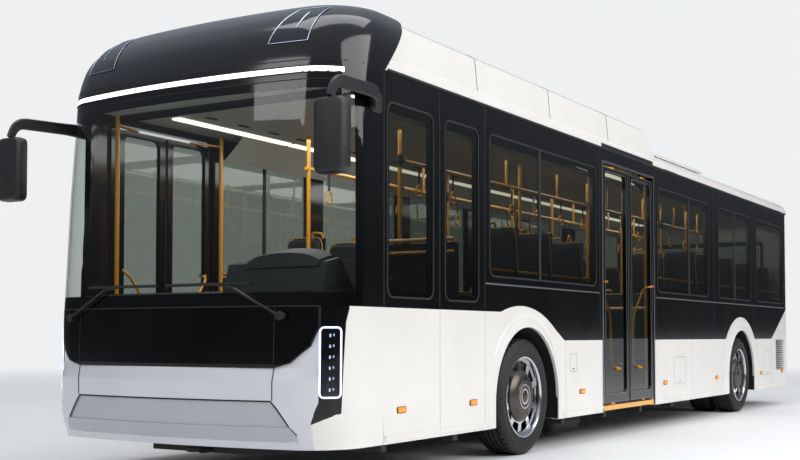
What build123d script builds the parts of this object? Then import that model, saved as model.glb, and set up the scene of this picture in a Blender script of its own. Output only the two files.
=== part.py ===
from build123d import *
import math
import os

# Electric low-floor city bus, millimetres: +X forward, +Y to the bus's left, +Z up, tyres on z = 0.
# Stations are distances along X from the front corner plane, negative towards the rear.
body_length = 11950
body_width = 2550
mirror_reach = 140
nose_bow = 30
half_width = body_width / 2
datum_x = (body_length - mirror_reach) / 2 - nose_bow
rear_x = datum_x + nose_bow - body_length

# Heights of the body's borders
skirt_bottom = 257
low_belt = 942
high_belt = 1173
sill_z = 1389
window_top = 2570
roof_edge = 2775
roof_top = 2960
dome_rise = 535
dome_top = roof_edge + dome_rise
fairing_rise = 230
fairing_top = roof_top + fairing_rise
wall = 60
seam_width = 8
seam_depth = 6

# Body borders along X
corner_seam = datum_x - 704
glass_edge = datum_x - 451
dome_back = datum_x - 720
dome_lean = 380
rear_wall_depth = 120
rear_wall_front = rear_x + rear_wall_depth
fairing_end = datum_x - 6300

# Wheels
front_axle_x = datum_x - 2942
rear_axle_x = datum_x - 9408
tyre_radius = 480
tyre_width = 280
rim_radius = 328
hub_radius = 110
wheel_face = half_width - 20
wheel_y = wheel_face - tyre_width / 2
twin_pitch = 312
kingpin_y = wheel_y - 165
kingpin_radius = 24
stub_end = 60
bearing_gap = 0.6
arch_half = 605
arch_spring = 450
steer_box_depth = 700
twin_box_depth = 665
box_half = 640
wheel_box_top = 1085
box_sheet = 8

# Floors
floor_top = 315
floor_thickness = 55
floor_under = floor_top - floor_thickness
deck_top = 850
deck_thickness = 45
deck_front = datum_x - 7250
cabin_front = datum_x - 780
lining = 4
inner_half = half_width - wall
ceiling_z = 2700
ceiling_thickness = 12

# Doors
door_top = 2645
leaf_thickness = 40
leaf_setback = 5
leaf_gap = 18
centre_gap = 30
leaf_head = 2612
leaf_stile = 62
leaf_top_rail = 42
leaf_bottom_rail = 90
leaf_y = half_width - leaf_setback - leaf_thickness / 2
column_behind = 60
column_inboard = 80
column_radius = 18
roller_inset = 20
pivot_radius = 7
pivot_play = 0.5
arm_height = 14
arm_width = 34
arm_clearance = 3
low_arm_z = floor_top + 6 + arm_height / 2
leaf_foot = low_arm_z + arm_height / 2 + arm_clearance
high_arm_z = leaf_head + arm_clearance + arm_height / 2
column_foot = floor_top + 0.3
column_head = ceiling_z - 0.3
glass_thickness = 6

# Doorways: name, side (+1 left), front station, rear station
doorways = (
    ("middle", 1, datum_x - 4620, datum_x - 6050),
    ("front", -1, datum_x - 750, datum_x - 1870),
)

# Side windows: side, front station, rear station, bottom height
side_window_table = (
    (1, -747, -1370, 1243),
    (1, -1542, -2070, 1240),
    (1, -2255, -4450, 1450),
    (1, -6180, -8000, 1450),
    (1, -8430, -9900, 1450),
    (1, -10200, rear_x + 220 - datum_x, 1450),
    (-1, -1990, -3310, 1450),
    (-1, -3530, -4980, 1450),
    (-1, -5200, -6560, 1450),
    (-1, -6780, -8030, 1450),
    (-1, -8330, -9520, 1450),
    (-1, -9840, rear_x + 220 - datum_x, 1450),
)
window_corner = 70
pane_thickness = 8
pane_setback = 3


def block(x0, x1, y0, y1, z0, z1):
    return Pos((x0 + x1) / 2, (y0 + y1) / 2, (z0 + z1) / 2) * Box(abs(x1 - x0), abs(y1 - y0), abs(z1 - z0))


def side_plane(y):
    return Plane(origin=(0, y, 0), x_dir=(1, 0, 0), z_dir=(0, -1, 0))


def cross_plane(x):
    return Plane(origin=(x, 0, 0), x_dir=(0, 1, 0), z_dir=(1, 0, 0))


def side_prism(points, y0, y1):
    face = make_face(Polyline(*points, close=True))
    return extrude(side_plane(max(y0, y1)) * face, amount=abs(y1 - y0))


def cross_prism(points, x0, x1):
    face = make_face(Polyline(*points, close=True))
    return extrude(cross_plane(min(x0, x1)) * face, amount=abs(x1 - x0))


def side_panel(x0, x1, z0, z1, radius, y0, y1):
    outline = Pos((x0 + x1) / 2, (z0 + z1) / 2) * RectangleRounded(abs(x1 - x0), z1 - z0, radius)
    return extrude(side_plane(max(y0, y1)) * outline, amount=abs(y1 - y0))


def rod(start, end, radius):
    start, end = Vector(*start), Vector(*end)
    along = end - start
    return Plane(origin=start, z_dir=along) * Cylinder(radius, along.length, align=(Align.CENTER, Align.CENTER, Align.MIN))


def upright(x, y, z0, z1, radius):
    return rod((x, y, z0), (x, y, z1), radius)


def other_side(shape):
    return mirror(shape, about=Plane.XZ)


def both_sides(shape):
    return shape + other_side(shape)


def total(shapes):
    result = shapes[0]
    for shape in shapes[1:]:
        result = result + shape
    return result


def group(shapes):
    solids = []
    for shape in shapes:
        solids.extend(shape.solids())
    return Compound(children=solids)


parts = {}
parts_folder = "parts"


# Front end: plan outlines at a few heights, a long bow between two corner arcs
bow_radius = 6200
corner_radius = 380
front_levels = (
    # height, setback of the nose, narrowing of each side
    (skirt_bottom, 50, 6),
    (450, 0, 0),
    (800, 0, 0),
    (high_belt, 10, 0),
)
screen_levels = (
    (high_belt, 10, 0),
    (2000, 60, 0),
    (2640, 115, 0),
)
dome_shape = (
    # share of the dome's rise, setback of the nose, narrowing of each side
    (0, 130, 0),
    (0.33, 190, 13),
    (0.55, 275, 38),
    (0.70, 370, 80),
    (0.84, 500, 150),
    (0.945, 660, 300),
    (1, 860, 560),
)
dome_levels = ((2640, 115, 0),) + tuple((roof_edge + share * dome_rise, back, narrow) for share, back, narrow in dome_shape)


def front_outline(z, setback, narrowing, back, inset, bow_from=bow_radius):
    half = half_width - narrowing - inset
    nose = datum_x + nose_bow - setback - inset
    bow = bow_from - inset
    corner = corner_radius - inset
    bow_x = nose - bow
    corner_x = bow_x + math.sqrt((bow - corner) ** 2 - (half - corner) ** 2)
    reach = bow / (bow - corner)
    meet_x = bow_x + (corner_x - bow_x) * reach
    meet_y = (half - corner) * reach
    turn = math.atan2(half - corner, corner_x - bow_x)
    mid = (turn + math.pi / 2) / 2
    mid_x = corner_x + corner * math.cos(mid)
    mid_y = half - corner + corner * math.sin(mid)
    edges = [
        Line((back, -half), (corner_x, -half)),
        ThreePointArc((corner_x, -half), (mid_x, -mid_y), (meet_x, -meet_y)),
        ThreePointArc((meet_x, -meet_y), (nose, 0), (meet_x, meet_y)),
        ThreePointArc((meet_x, meet_y), (mid_x, mid_y), (corner_x, half)),
        Line((corner_x, half), (back, half)),
        Line((back, half), (back, -half)),
    ]
    return Pos(0, 0, z) * make_face(edges)


def front_loft(levels, back, inset=0, bow_from=bow_radius):
    faces = [front_outline(z, setback, narrowing, back, inset, bow_from) for z, setback, narrowing in levels]
    return loft(faces, ruled=True)


def slanted_bands(levels, back, inset=0):
    # Upright shell of even width whose outline slides back with height
    bands = []
    for (z0, setback0, narrow0), (z1, setback1, narrow1) in zip(levels, levels[1:]):
        way = Vector(setback0 - setback1, 0, z1 - z0)
        bands.append(extrude(front_outline(z0, setback0, narrow0, back - 200, inset), amount=way.length, dir=way.normalized()))
    return total(bands) & block(back, datum_x + 500, -half_width - 10, half_width + 10, levels[0][0], levels[-1][0])


# Lower front wall, cut into the mask, the lamp housings, the bumper and the corner panels.
# The bumper stands proud of the mask at the middle, and its tighter bow brings it flush at the lamps.
lower_hollow = front_loft(
    ((skirt_bottom - 1, 50, 6),) + front_levels[1:3] + ((high_belt + 1, 10, 0),), corner_seam - 10, wall
)
lower_front = front_loft(front_levels, corner_seam) - lower_hollow
bumper_bow = 5200
bumper_levels = (
    (skirt_bottom, 34, 6),
    (400, -14, 0),
    (690, -20, 0),
    (782, 0, 0),
    (high_belt, 10, 0),
)
centre_recess = 8
bumper_shell = front_loft(bumper_levels, corner_seam, 0, bumper_bow) - lower_hollow
centre_shell = front_loft(bumper_levels, corner_seam, centre_recess, bumper_bow) - lower_hollow
front_reach = datum_x + 200
mask_half = 1144
mask_right = ((mask_half, high_belt), (mask_half, 1032), (1101, 915), (983, 811), (868, 780))
mask_outline = mask_right + tuple((-y, z) for y, z in reversed(mask_right))
mask_prism = cross_prism(mask_outline, corner_seam + 200, front_reach)
lamp_left_edge = ((1151, high_belt), (1151, 1052), (1147, 562), (1104, 421))
lamp_right_edge = ((1237, 491), (1249, 1072), (1258, high_belt))
lamp_back = datum_x - 360
lamp_prism = both_sides(cross_prism(lamp_left_edge + lamp_right_edge, lamp_back, front_reach))
centre_panel_right = ((850, 565), (890, 523), (1020, 350))
centre_outline = centre_panel_right + tuple((-y, z) for y, z in reversed(centre_panel_right))
centre_prism = cross_prism(centre_outline, corner_seam + 200, front_reach)
corner_edge = ((1104, 200), (1104, 421), (1237, 491), (1249, 1072), (1258, high_belt), (1400, high_belt), (1400, 200))
corner_prism = both_sides(
    cross_prism(corner_edge, corner_seam, front_reach) + block(corner_seam, datum_x - 250, 1160, half_width + 50, 0, 2000)
)

front_mask = lower_front & mask_prism
lamp_wall = lower_front & lamp_prism
bumper_centre = centre_shell & centre_prism
corner_panels = (lower_front - mask_prism - lamp_prism - centre_prism) & corner_prism
bumper = bumper_shell - mask_prism - lamp_prism - centre_prism - corner_prism
parts["front_mask"] = group([front_mask, lamp_wall])
parts["front_bumper"] = bumper
parts["bumper_centre_panel"] = bumper_centre
parts["front_corner_panels"] = corner_panels

# Windscreen: one bent pane that wraps round both corners
screen_foot = high_belt
screen_head = 2640
pane = 10
inner_levels = ((high_belt - 1, 10, 0), (2000, 60, 0), (2641, 115, 0))
screen_shell = slanted_bands(screen_levels, corner_seam - 20) - slanted_bands(inner_levels, corner_seam - 40, pane)
parts["windscreen"] = screen_shell & block(glass_edge, front_reach, -half_width, half_width, screen_foot, screen_head)
pillar_shell = slanted_bands(screen_levels, corner_seam) - slanted_bands(inner_levels, corner_seam - 40, wall)
parts["front_pillars"] = pillar_shell & block(corner_seam, glass_edge, -half_width, half_width, screen_foot, screen_head)

# Dome over the windscreen, hollow, cut at a slant where the roof fairing begins
dome_wall = 40
dome_inner_levels = ((2639, 115, 0),) + dome_levels[1:6] + ((dome_top - 45, 620, 300),)
dome_outer = front_loft(dome_levels, dome_back - dome_lean - 500)
dome_inner = front_loft(dome_inner_levels, dome_back - dome_lean - 600, dome_wall)
dome_cut = side_prism(
    (
        (dome_back - 2000, 2600),
        (corner_seam, 2600),
        (corner_seam, roof_edge),
        (dome_back, roof_edge),
        (dome_back - dome_lean, dome_top - 120),
        (dome_back - dome_lean, dome_top + 90),
        (dome_back - 2000, dome_top + 90),
    ),
    -half_width - 10,
    half_width + 10,
)
light_bar_z = 2690
light_bar_height = 35
light_bar_half = 1208
bar_wall = 14
bar_ring = front_loft(((light_bar_z, 121, 0), (light_bar_z + light_bar_height, 125, 0)), corner_seam) - front_loft(
    ((light_bar_z - 1, 121, 0), (light_bar_z + light_bar_height + 1, 125, 0)), corner_seam - 20, bar_wall
)
light_bar = bar_ring & block(datum_x - 480, front_reach, -light_bar_half, light_bar_half, 2600, 2800)
lamp_foot = roof_edge + 125
lamp_head = dome_top - 115
lamp_points = ((700, lamp_foot), (990, lamp_foot), (980, lamp_head), (770, lamp_head))
roof_lamp_prism = both_sides(cross_prism(lamp_points, datum_x - 900, front_reach))
dome_shell = dome_outer - dome_inner - dome_cut
roof_lamps = (dome_shell & roof_lamp_prism)
parts["front_dome"] = dome_shell - light_bar - roof_lamp_prism
parts["front_lamps"] = group([light_bar, roof_lamps])

# Side walls: white skirt below the belt, black wall above it, windows, doorways and arches cut out
rear_rise = rear_x + 958


def belt_outline():
    # Top border of the white skirt, from the front corner seam to the rear wall
    flare_front = ThreePointArc(
        (datum_x - 2450, high_belt), (datum_x - 2940, 1222), (datum_x - 3500, 1040)
    )
    flare_rear = ThreePointArc((datum_x - 8710, low_belt), (datum_x - 9390, 1225), (datum_x - 10070, low_belt))
    rear_top = low_belt + (rear_rise - rear_wall_front) / 2
    return [
        Line((corner_seam, high_belt), (datum_x - 2450, high_belt)),
        flare_front,
        Line((datum_x - 3500, 1040), (datum_x - 3700, low_belt)),
        Line((datum_x - 3700, low_belt), (datum_x - 8710, low_belt)),
        flare_rear,
        Line((datum_x - 10070, low_belt), (rear_rise, low_belt)),
        Line((rear_rise, low_belt), (rear_wall_front, rear_top)),
        Line((rear_wall_front, rear_top), (rear_wall_front, skirt_bottom)),
        Line((rear_wall_front, skirt_bottom), (corner_seam, skirt_bottom)),
        Line((corner_seam, skirt_bottom), (corner_seam, high_belt)),
    ]


def arch_cut(x):
    outline = [
        Line((x - arch_half, skirt_bottom - 50), (x - arch_half, arch_spring)),
        ThreePointArc((x - arch_half, arch_spring), (x, arch_spring + arch_half), (x + arch_half, arch_spring)),
        Line((x + arch_half, arch_spring), (x + arch_half, skirt_bottom - 50)),
        Line((x + arch_half, skirt_bottom - 50), (x - arch_half, skirt_bottom - 50)),
    ]
    return extrude(side_plane(half_width + 20) * make_face(outline), amount=wall + 60)


skirt_seams = (-1465, -2172, -3730, -7346, -8580, -10150, rear_rise + 21 - datum_x)
left_wall = block(rear_wall_front, corner_seam, inner_half, half_width, skirt_bottom, roof_edge)
skirt_region = extrude(side_plane(half_width + 20) * make_face(belt_outline()), amount=wall + 40)
arches = arch_cut(front_axle_x) + arch_cut(rear_axle_x)
louvre_x0 = rear_x + 250
louvre_x1 = rear_x + 720
louvre_z0 = 500
louvre_z1 = 930
slat_count = 16
slat_sheet = 6
louvre_cut = block(louvre_x0, louvre_x1, inner_half - 5, half_width + 5, louvre_z0, louvre_z1)


def doorway_cut(side):
    cuts = [
        block(rear, front, inner_half - 10, half_width + 10, skirt_bottom - 5, door_top)
        for name, door_side, front, rear in doorways
        if door_side == side
    ]
    return total(cuts)


def window_cut(side, grow=0, y0=inner_half - 10, y1=half_width + 10):
    cuts = [
        side_panel(
            datum_x + rear - grow,
            datum_x + front + grow,
            bottom - grow,
            window_top + grow,
            window_corner + grow,
            y0,
            y1,
        )
        for window_side, front, rear, bottom in side_window_table
        if window_side == side
    ]
    return cuts


for side, word in ((1, "left"), (-1, "right")):
    skirt = (left_wall & skirt_region) - arches - doorway_cut(side) - louvre_cut
    for station in skirt_seams:
        seam_x = datum_x + station
        skirt -= block(seam_x - seam_width / 2, seam_x + seam_width / 2, half_width - seam_depth, half_width + 5, 0, high_belt + 130)
    for number in range(slat_count):
        slat_z = louvre_z0 + (number + 0.5) * (louvre_z1 - louvre_z0) / slat_count
        skirt += side_prism(
            (
                (louvre_x0 - 1, slat_z),
                (louvre_x1 + 1, slat_z),
                (louvre_x1 + 1, slat_z + slat_sheet),
                (louvre_x0 - 1, slat_z + slat_sheet),
            ),
            half_width - 30,
            half_width - 6,
        )
    upper = left_wall - skirt_region - doorway_cut(side)
    for cut in window_cut(side):
        upper -= cut
    if side < 0:
        skirt, upper = other_side(skirt), other_side(upper)
    # The upper wall is made as a panel on each side of the doorway and a header over it
    name, door_side, door_front, door_rear = [row for row in doorways if row[1] == side][0]
    wall_panels = [
        upper & block(x0, x1, -half_width - 20, half_width + 20, 0, roof_edge + 10)
        for x0, x1 in ((door_front, corner_seam), (door_rear, door_front), (rear_wall_front, door_rear))
    ]
    parts[word + "_skirt"] = skirt
    parts[word + "_upper_wall"] = group(wall_panels)

# Rear wall with rounded corners, a window and an opening closed by the hatch
rear_corner = 110
rear_plan = Pos(rear_x + 100 + 300, 0) * RectangleRounded(800, body_width, rear_corner)
rear_solid = extrude(Pos(0, 0, skirt_bottom) * rear_plan, amount=roof_edge - skirt_bottom)
rear_inner = block(rear_x + wall, rear_x + 1000, -inner_half, inner_half, 0, 3000)
hatch_half = 900
hatch_bottom = 480
hatch_top = 1290
hatch_gap = 6
rear_window_half = 950
rear_window_bottom = 1500
rear_window_top = 2400
rear_wall = (rear_solid & block(rear_x, rear_wall_front, -half_width, half_width, 0, 3000)) - rear_inner
rear_wall -= block(rear_x - 5, rear_x + wall + 5, -hatch_half, hatch_half, hatch_bottom, hatch_top)
rear_glass_outline = Pos(0, (rear_window_bottom + rear_window_top) / 2) * RectangleRounded(
    2 * rear_window_half, rear_window_top - rear_window_bottom, window_corner
)
rear_wall -= extrude(cross_plane(rear_x - 5) * rear_glass_outline, amount=wall + 10)
rear_lamp_z = (560, 1180)
rear_lamp_y = (960, 1100)
rear_lamp_depth = 30
rear_lamp_space = both_sides(block(rear_x - 1, rear_x + rear_lamp_depth, rear_lamp_y[0], rear_lamp_y[1], *rear_lamp_z))
rear_wall -= rear_lamp_space
parts["rear_lamps"] = both_sides(block(rear_x, rear_x + rear_lamp_depth, rear_lamp_y[0], rear_lamp_y[1], *rear_lamp_z))
hatch_axis_x = rear_x + 14
hatch_axis_z = hatch_top - 14
hatch_panel = block(
    rear_x + 6,
    rear_x + 36,
    -hatch_half + hatch_gap,
    hatch_half - hatch_gap,
    hatch_bottom + hatch_gap,
    hatch_top - 10,
)
hatch_ears = (-600, 0, 600)
ear_half = 7
for y in hatch_ears:
    rear_wall += block(
        hatch_axis_x - ear_half, hatch_axis_x + ear_half, y - 8, y + 8, hatch_axis_z - ear_half, hatch_top + 5
    ) - rod((hatch_axis_x, y - 20, hatch_axis_z), (hatch_axis_x, y + 20, hatch_axis_z), 5.3)
    hatch_panel -= block(rear_x, rear_x + 50, y - 14, y + 14, hatch_axis_z - 20, hatch_top)
    hatch_panel += rod((hatch_axis_x, y - 16, hatch_axis_z), (hatch_axis_x, y + 16, hatch_axis_z), 5)
grille_slots = 7
grille_pitch = 46
grille_foot = 900
for number in range(grille_slots):
    slot_z = grille_foot + number * grille_pitch
    hatch_panel -= block(rear_x, rear_x + 50, -700, 700, slot_z, slot_z + 20)
parts["rear_wall"] = rear_wall
parts["rear_hatch"] = hatch_panel

# Panes
left_panes = window_cut(1, 0, half_width - pane_setback - pane_thickness, half_width - pane_setback)
right_panes = [
    other_side(p) for p in window_cut(-1, 0, half_width - pane_setback - pane_thickness, half_width - pane_setback)
]
rear_pane = extrude(cross_plane(rear_x + pane_setback) * rear_glass_outline, amount=pane_thickness)
parts["windows"] = group(left_panes + right_panes + [rear_pane])

# Roof: an arched shell from side wall to side wall
roof_sheet = 50


def roof_polygon(inset):
    right = [
        (half_width - inset, roof_edge),
        (half_width - inset - 20, roof_edge + 85 - inset / 2),
        (half_width - inset - 85, roof_edge + 150 - inset / 2),
        (half_width - inset - 220, roof_top - inset),
    ]
    return [(-y, z) for y, z in reversed(right)] + right


roof_outer = cross_prism(roof_polygon(0), rear_x, dome_back)
roof_inner = cross_prism([(y, z - 0.5 if z == roof_edge else z) for y, z in roof_polygon(roof_sheet)], rear_x + 60, dome_back + 5)
roof_nose = side_prism(
    (
        (dome_back, roof_edge),
        (dome_back - dome_lean, dome_top - 120),
        (dome_back + 200, dome_top - 120),
        (dome_back + 200, roof_edge),
    ),
    -half_width - 10,
    half_width + 10,
)
parts["roof"] = roof_outer - roof_inner - roof_nose

# Roof fairing, open at the top over the battery packs
fairing_sheet = 30
fairing_y = 1215
fairing_foot = roof_top - 75
above_all = dome_top + 90
fairing_lean = 25
fairing_side = cross_prism(
    (
        (fairing_y, fairing_foot),
        (fairing_y - fairing_lean, fairing_top - 40),
        (fairing_y - fairing_lean - 60, fairing_top),
        (fairing_y - fairing_lean - 60 - fairing_sheet, fairing_top - fairing_sheet),
        (fairing_y - fairing_lean - fairing_sheet, fairing_top - 60),
        (fairing_y - fairing_sheet, fairing_foot),
    ),
    fairing_end,
    dome_back,
)
fairing_slopes = side_prism(
    (
        (dome_back, roof_edge),
        (dome_back - dome_lean, dome_top - 120),
        (dome_back - dome_lean, above_all),
        (dome_back + 600, above_all),
        (dome_back + 600, roof_edge),
    ),
    -half_width,
    half_width,
) + side_prism(
    (
        (fairing_end - 10, roof_edge),
        (fairing_end, roof_top - 60),
        (fairing_end + 500, above_all),
        (fairing_end - 10, above_all),
    ),
    -half_width,
    half_width,
)
parts["roof_fairing"] = both_sides(fairing_side) - fairing_slopes - roof_outer

# Battery packs and air conditioner on the roof
pack_count = 6
pack_length = 720
pack_gap = 60
pack_half = 1000
pack_height = 190
pack_start = dome_back - 620
packs = []
for number in range(pack_count):
    front = pack_start - number * (pack_length + pack_gap)
    packs.append(block(front - pack_length, front, -pack_half, pack_half, roof_top, roof_top + pack_height))
parts["roof_batteries"] = group(packs)
cooler_front = datum_x - 7000
cooler_length = 2500
cooler_half = 750
cooler_height = 215
cooler = block(cooler_front - cooler_length, cooler_front, -cooler_half, cooler_half, roof_top, roof_top + cooler_height)
for x in (0.3, 0.7):
    fan_x = cooler_front - cooler_length * x
    cooler -= upright(fan_x, 0, roof_top + cooler_height - 60, roof_top + cooler_height + 5, 260)
parts["air_conditioner"] = cooler

# Ceiling lining
ceiling_front = datum_x - 560
parts["ceiling"] = block(rear_x + wall + 5, ceiling_front, -inner_half + 2, inner_half - 2, ceiling_z, ceiling_z + ceiling_thickness)

# Floors: low floor cut round the front wheel boxes, step and rear deck cut round the rear ones
floor_front = datum_x - 330
low_floor = block(deck_front, floor_front, -inner_half + 2, inner_half - 2, floor_under, floor_top)
front_wheel_space = both_sides(
    block(front_axle_x - box_half, front_axle_x + box_half, half_width - steer_box_depth, half_width, 0, wheel_box_top)
)
rear_wheel_space = both_sides(
    block(rear_axle_x - box_half, rear_axle_x + box_half, half_width - twin_box_depth, half_width, 0, wheel_box_top)
)
nose_trim = front_loft(front_levels, corner_seam - 300, wall + 2)
low_floor = low_floor - front_wheel_space
low_floor = (low_floor & block(deck_front, corner_seam, -half_width, half_width, 0, 1000)) + (low_floor & nose_trim)
riser = block(deck_front - 30, deck_front, -inner_half + 2, inner_half - 2, floor_under, deck_top - deck_thickness)
deck = block(
    rear_x + wall + 5, deck_front, -inner_half + 2, inner_half - 2, deck_top - deck_thickness, deck_top
) - rear_wheel_space
# The low floor is laid as boards ahead of, between and behind the front wheel boxes
board_ends = (datum_x, front_axle_x + box_half, front_axle_x - box_half, deck_front)
boards = [low_floor & block(x1, x0, -half_width, half_width, 0, 1000) for x0, x1 in zip(board_ends, board_ends[1:])]
parts["floor"] = group(boards + [riser, deck])


def wheel_box(x, depth):
    outer = block(x - box_half, x + box_half, half_width - depth, inner_half - 2, floor_under, wheel_box_top)
    inner = block(
        x - box_half + box_sheet,
        x + box_half - box_sheet,
        half_width - depth + box_sheet,
        inner_half + 5,
        floor_under - 5,
        wheel_box_top - box_sheet,
    )
    return outer - inner


axle_tunnel = block(
    rear_axle_x - box_half + box_sheet,
    rear_axle_x + box_half - box_sheet,
    half_width - twin_box_depth - 10,
    half_width - twin_box_depth + box_sheet + 10,
    0,
    deck_top - deck_thickness - 20,
)
twin_box = wheel_box(rear_axle_x, twin_box_depth) - axle_tunnel
wheel_boxes = both_sides(wheel_box(front_axle_x, steer_box_depth)) + both_sides(twin_box)

# Chassis under the floors
rail_y = 430
rail_width = 70
rail_height = 90
rail_bottom = floor_under - rail_height
drop_front = deck_front - 30
drop_rear = deck_front - 120
low_rail = block(drop_rear, datum_x - 450, rail_y, rail_y + rail_width, rail_bottom, floor_under)
rail_gap = block(front_axle_x - 230, front_axle_x + 230, -half_width, half_width, 0, floor_under)
cross_bars = []
for number in range(7):
    bar_x = datum_x - 800 - number * 1000
    if abs(bar_x - front_axle_x) > box_half + 60:
        cross_bars.append(block(bar_x - 35, bar_x + 35, -inner_half + 2, inner_half - 2, rail_bottom + 30, floor_under))
high_rail_bottom = deck_top - deck_thickness - 160
high_rail = block(rear_x + wall + 30, drop_rear, rail_y, rail_y + rail_width, high_rail_bottom, deck_top - deck_thickness)
drop_rail = block(drop_rear, drop_front, rail_y, rail_y + rail_width, floor_under, deck_top - deck_thickness)
low_frame = total([both_sides(low_rail - rail_gap)] + cross_bars) - wheel_boxes - front_wheel_space
high_frame = both_sides(high_rail)
for x in (rear_axle_x + 800, rear_axle_x - 800, rear_axle_x - 1700):
    high_frame += block(x - 40, x + 40, -inner_half + 2, inner_half - 2, high_rail_bottom, deck_top - deck_thickness)
high_frame = high_frame - wheel_boxes - rear_wheel_space
frame_ends = board_ends[:3] + (drop_rear,)
low_bays = [low_frame & block(x1, x0, -half_width, half_width, 0, 1000) for x0, x1 in zip(frame_ends, frame_ends[1:])]
parts["chassis_frame"] = group(low_bays + [both_sides(drop_rail), high_frame])

# Front axle: a dropped beam between the kingpins
beam_bottom = 165
beam = block(front_axle_x - 70, front_axle_x + 70, -600, 600, beam_bottom, floor_under - 0.3)
beam_arm = cross_prism(
    (
        (595, beam_bottom),
        (650, beam_bottom),
        (kingpin_y - 130, 360),
        (kingpin_y - 115, 405),
        (kingpin_y - 15, 405),
        (kingpin_y - 15, 555),
        (kingpin_y - 130, 555),
        (625, 290),
        (595, 290),
    ),
    front_axle_x - 50,
    front_axle_x + 50,
)
kingpin_eye = upright(front_axle_x, kingpin_y, 400, 560, 46)
beam_side = (beam_arm + kingpin_eye) - upright(front_axle_x, kingpin_y, 300, 700, kingpin_radius + 0.4)
parts["front_axle"] = beam + both_sides(beam_side)

# Knuckles: a kingpin with a fork above and below the beam's eye, and the stub that carries the wheel
stub_radius = 45
fork_plate = 40
fork_low = block(front_axle_x - 55, front_axle_x + 55, kingpin_y - 45, kingpin_y + 95, 399 - fork_plate, 399)
fork_high = block(front_axle_x - 55, front_axle_x + 55, kingpin_y - 45, kingpin_y + 95, 561, 561 + fork_plate)
fork_back = block(front_axle_x - 55, front_axle_x + 55, kingpin_y + 55, kingpin_y + 95, 399 - fork_plate, 561 + fork_plate)
kingpin = upright(front_axle_x, kingpin_y, 399 - fork_plate, 561 + fork_plate, kingpin_radius)
stub = rod((front_axle_x, kingpin_y + 90, tyre_radius), (front_axle_x, wheel_face - stub_end, tyre_radius), stub_radius)
knuckle = fork_low + fork_high + fork_back + kingpin + stub
parts["knuckle_left"] = knuckle
parts["knuckle_right"] = other_side(knuckle)


# Wheels about the Y axis, made with the outer face at y = 0 and placed on the axles
def revolve_about_y(profile):
    # Profile of (radius, depth inboard of the wheel face)
    plane = Plane(origin=(0, 0, 0), x_dir=(1, 0, 0), z_dir=(0, 0, 1))
    face = make_face(Polyline(*[(radius, -depth) for radius, depth in profile], close=True))
    return revolve(plane * face, axis=Axis.Y)


tyre_profile = (
    # radius, depth
    (rim_radius, 20),
    (tyre_radius - 62, 0),
    (tyre_radius, 34),
    (tyre_radius, tyre_width - 34),
    (tyre_radius - 62, tyre_width),
    (rim_radius, tyre_width - 20),
)
barrel = 12
rim_edge = 22
hub_cover = 160
hub_back = 110
hole_count = 10
hole_inner = 222
hole_outer = 296
hole_inner_half = 44
hole_outer_half = 64


def wheel_section(cover_depth, disc_inner, disc_outer, sheet, hub_depth):
    # One closed section: cover over the hub, disc with its dish, and the rim that holds the tyre
    return (
        (0, cover_depth),
        (hub_cover - 60, cover_depth),
        (hub_cover, cover_depth + 16),
        (hub_cover + 14, disc_inner),
        (rim_radius - barrel, disc_outer),
        (rim_radius - barrel, rim_edge),
        (rim_radius - 0.2, rim_edge),
        (rim_radius - 0.2, tyre_width - rim_edge),
        (rim_radius - barrel, tyre_width - rim_edge),
        (rim_radius - barrel, disc_outer + sheet),
        (hub_cover + 14, disc_inner + sheet),
        (hub_back, disc_inner + sheet),
        (hub_back, hub_depth),
        (0, hub_depth),
    )


def hub_bore(radius, hub_depth):
    return rod((0, -hub_depth - 10, 0), (0, 2 - stub_end, 0), radius + bearing_gap)


def hand_holes(depth):
    # Trapezoid windows through the disc
    outline = make_face(
        Polyline(
            (hole_inner, -hole_inner_half),
            (hole_outer, -hole_outer_half),
            (hole_outer, hole_outer_half),
            (hole_inner, hole_inner_half),
            close=True,
        )
    )
    window = extrude(Plane(origin=(0, 0, 0), x_dir=(1, 0, 0), z_dir=(0, -1, 0)) * outline, amount=depth)
    return total([Rot(0, 360 * number / hole_count, 0) * window for number in range(hole_count)])


front_hub_depth = 120
front_section = wheel_section(6, 50, 62, 22, front_hub_depth)
tyre = revolve_about_y(tyre_profile)
rim = revolve_about_y(front_section) - hand_holes(110) - hub_bore(stub_radius, front_hub_depth)
wheel_place = Pos(front_axle_x, wheel_face, tyre_radius)
for word in ("left", "right"):
    placed_tyre = wheel_place * tyre
    placed_rim = wheel_place * rim
    if word == "right":
        placed_tyre, placed_rim = other_side(placed_tyre), other_side(placed_rim)
    parts["tyre_front_" + word] = placed_tyre
    parts["rim_front_" + word] = placed_rim

rear_place = Pos(rear_axle_x, wheel_face, tyre_radius)
rear_stub = 60
rear_section = wheel_section(26, 112, 118, 22, tyre_width - 40)


def rear_rim():
    outer = revolve_about_y(rear_section) - hand_holes(170)
    hub = rod((0, -140, 0), (0, -twin_pitch - 150, 0), 150)
    inner_shape = (
        (145, twin_pitch + 120),
        (rim_radius - barrel, twin_pitch + 120),
        (rim_radius - barrel, twin_pitch + rim_edge),
        (rim_radius - 0.2, twin_pitch + rim_edge),
        (rim_radius - 0.2, twin_pitch + tyre_width - rim_edge),
        (rim_radius - barrel, twin_pitch + tyre_width - rim_edge),
        (rim_radius - barrel, twin_pitch + 150),
        (145, twin_pitch + 150),
    )
    return (outer + hub + revolve_about_y(inner_shape)) - hub_bore(rear_stub, twin_pitch + 150)


for word in ("left", "right"):
    outer_tyre = rear_place * tyre
    inner_tyre = rear_place * Pos(0, -twin_pitch, 0) * tyre
    placed_rim = rear_place * rear_rim()
    if word == "right":
        outer_tyre, inner_tyre, placed_rim = other_side(outer_tyre), other_side(inner_tyre), other_side(placed_rim)
    parts["tyres_rear_" + word] = group([outer_tyre, inner_tyre])
    parts["rim_rear_" + word] = placed_rim

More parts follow.
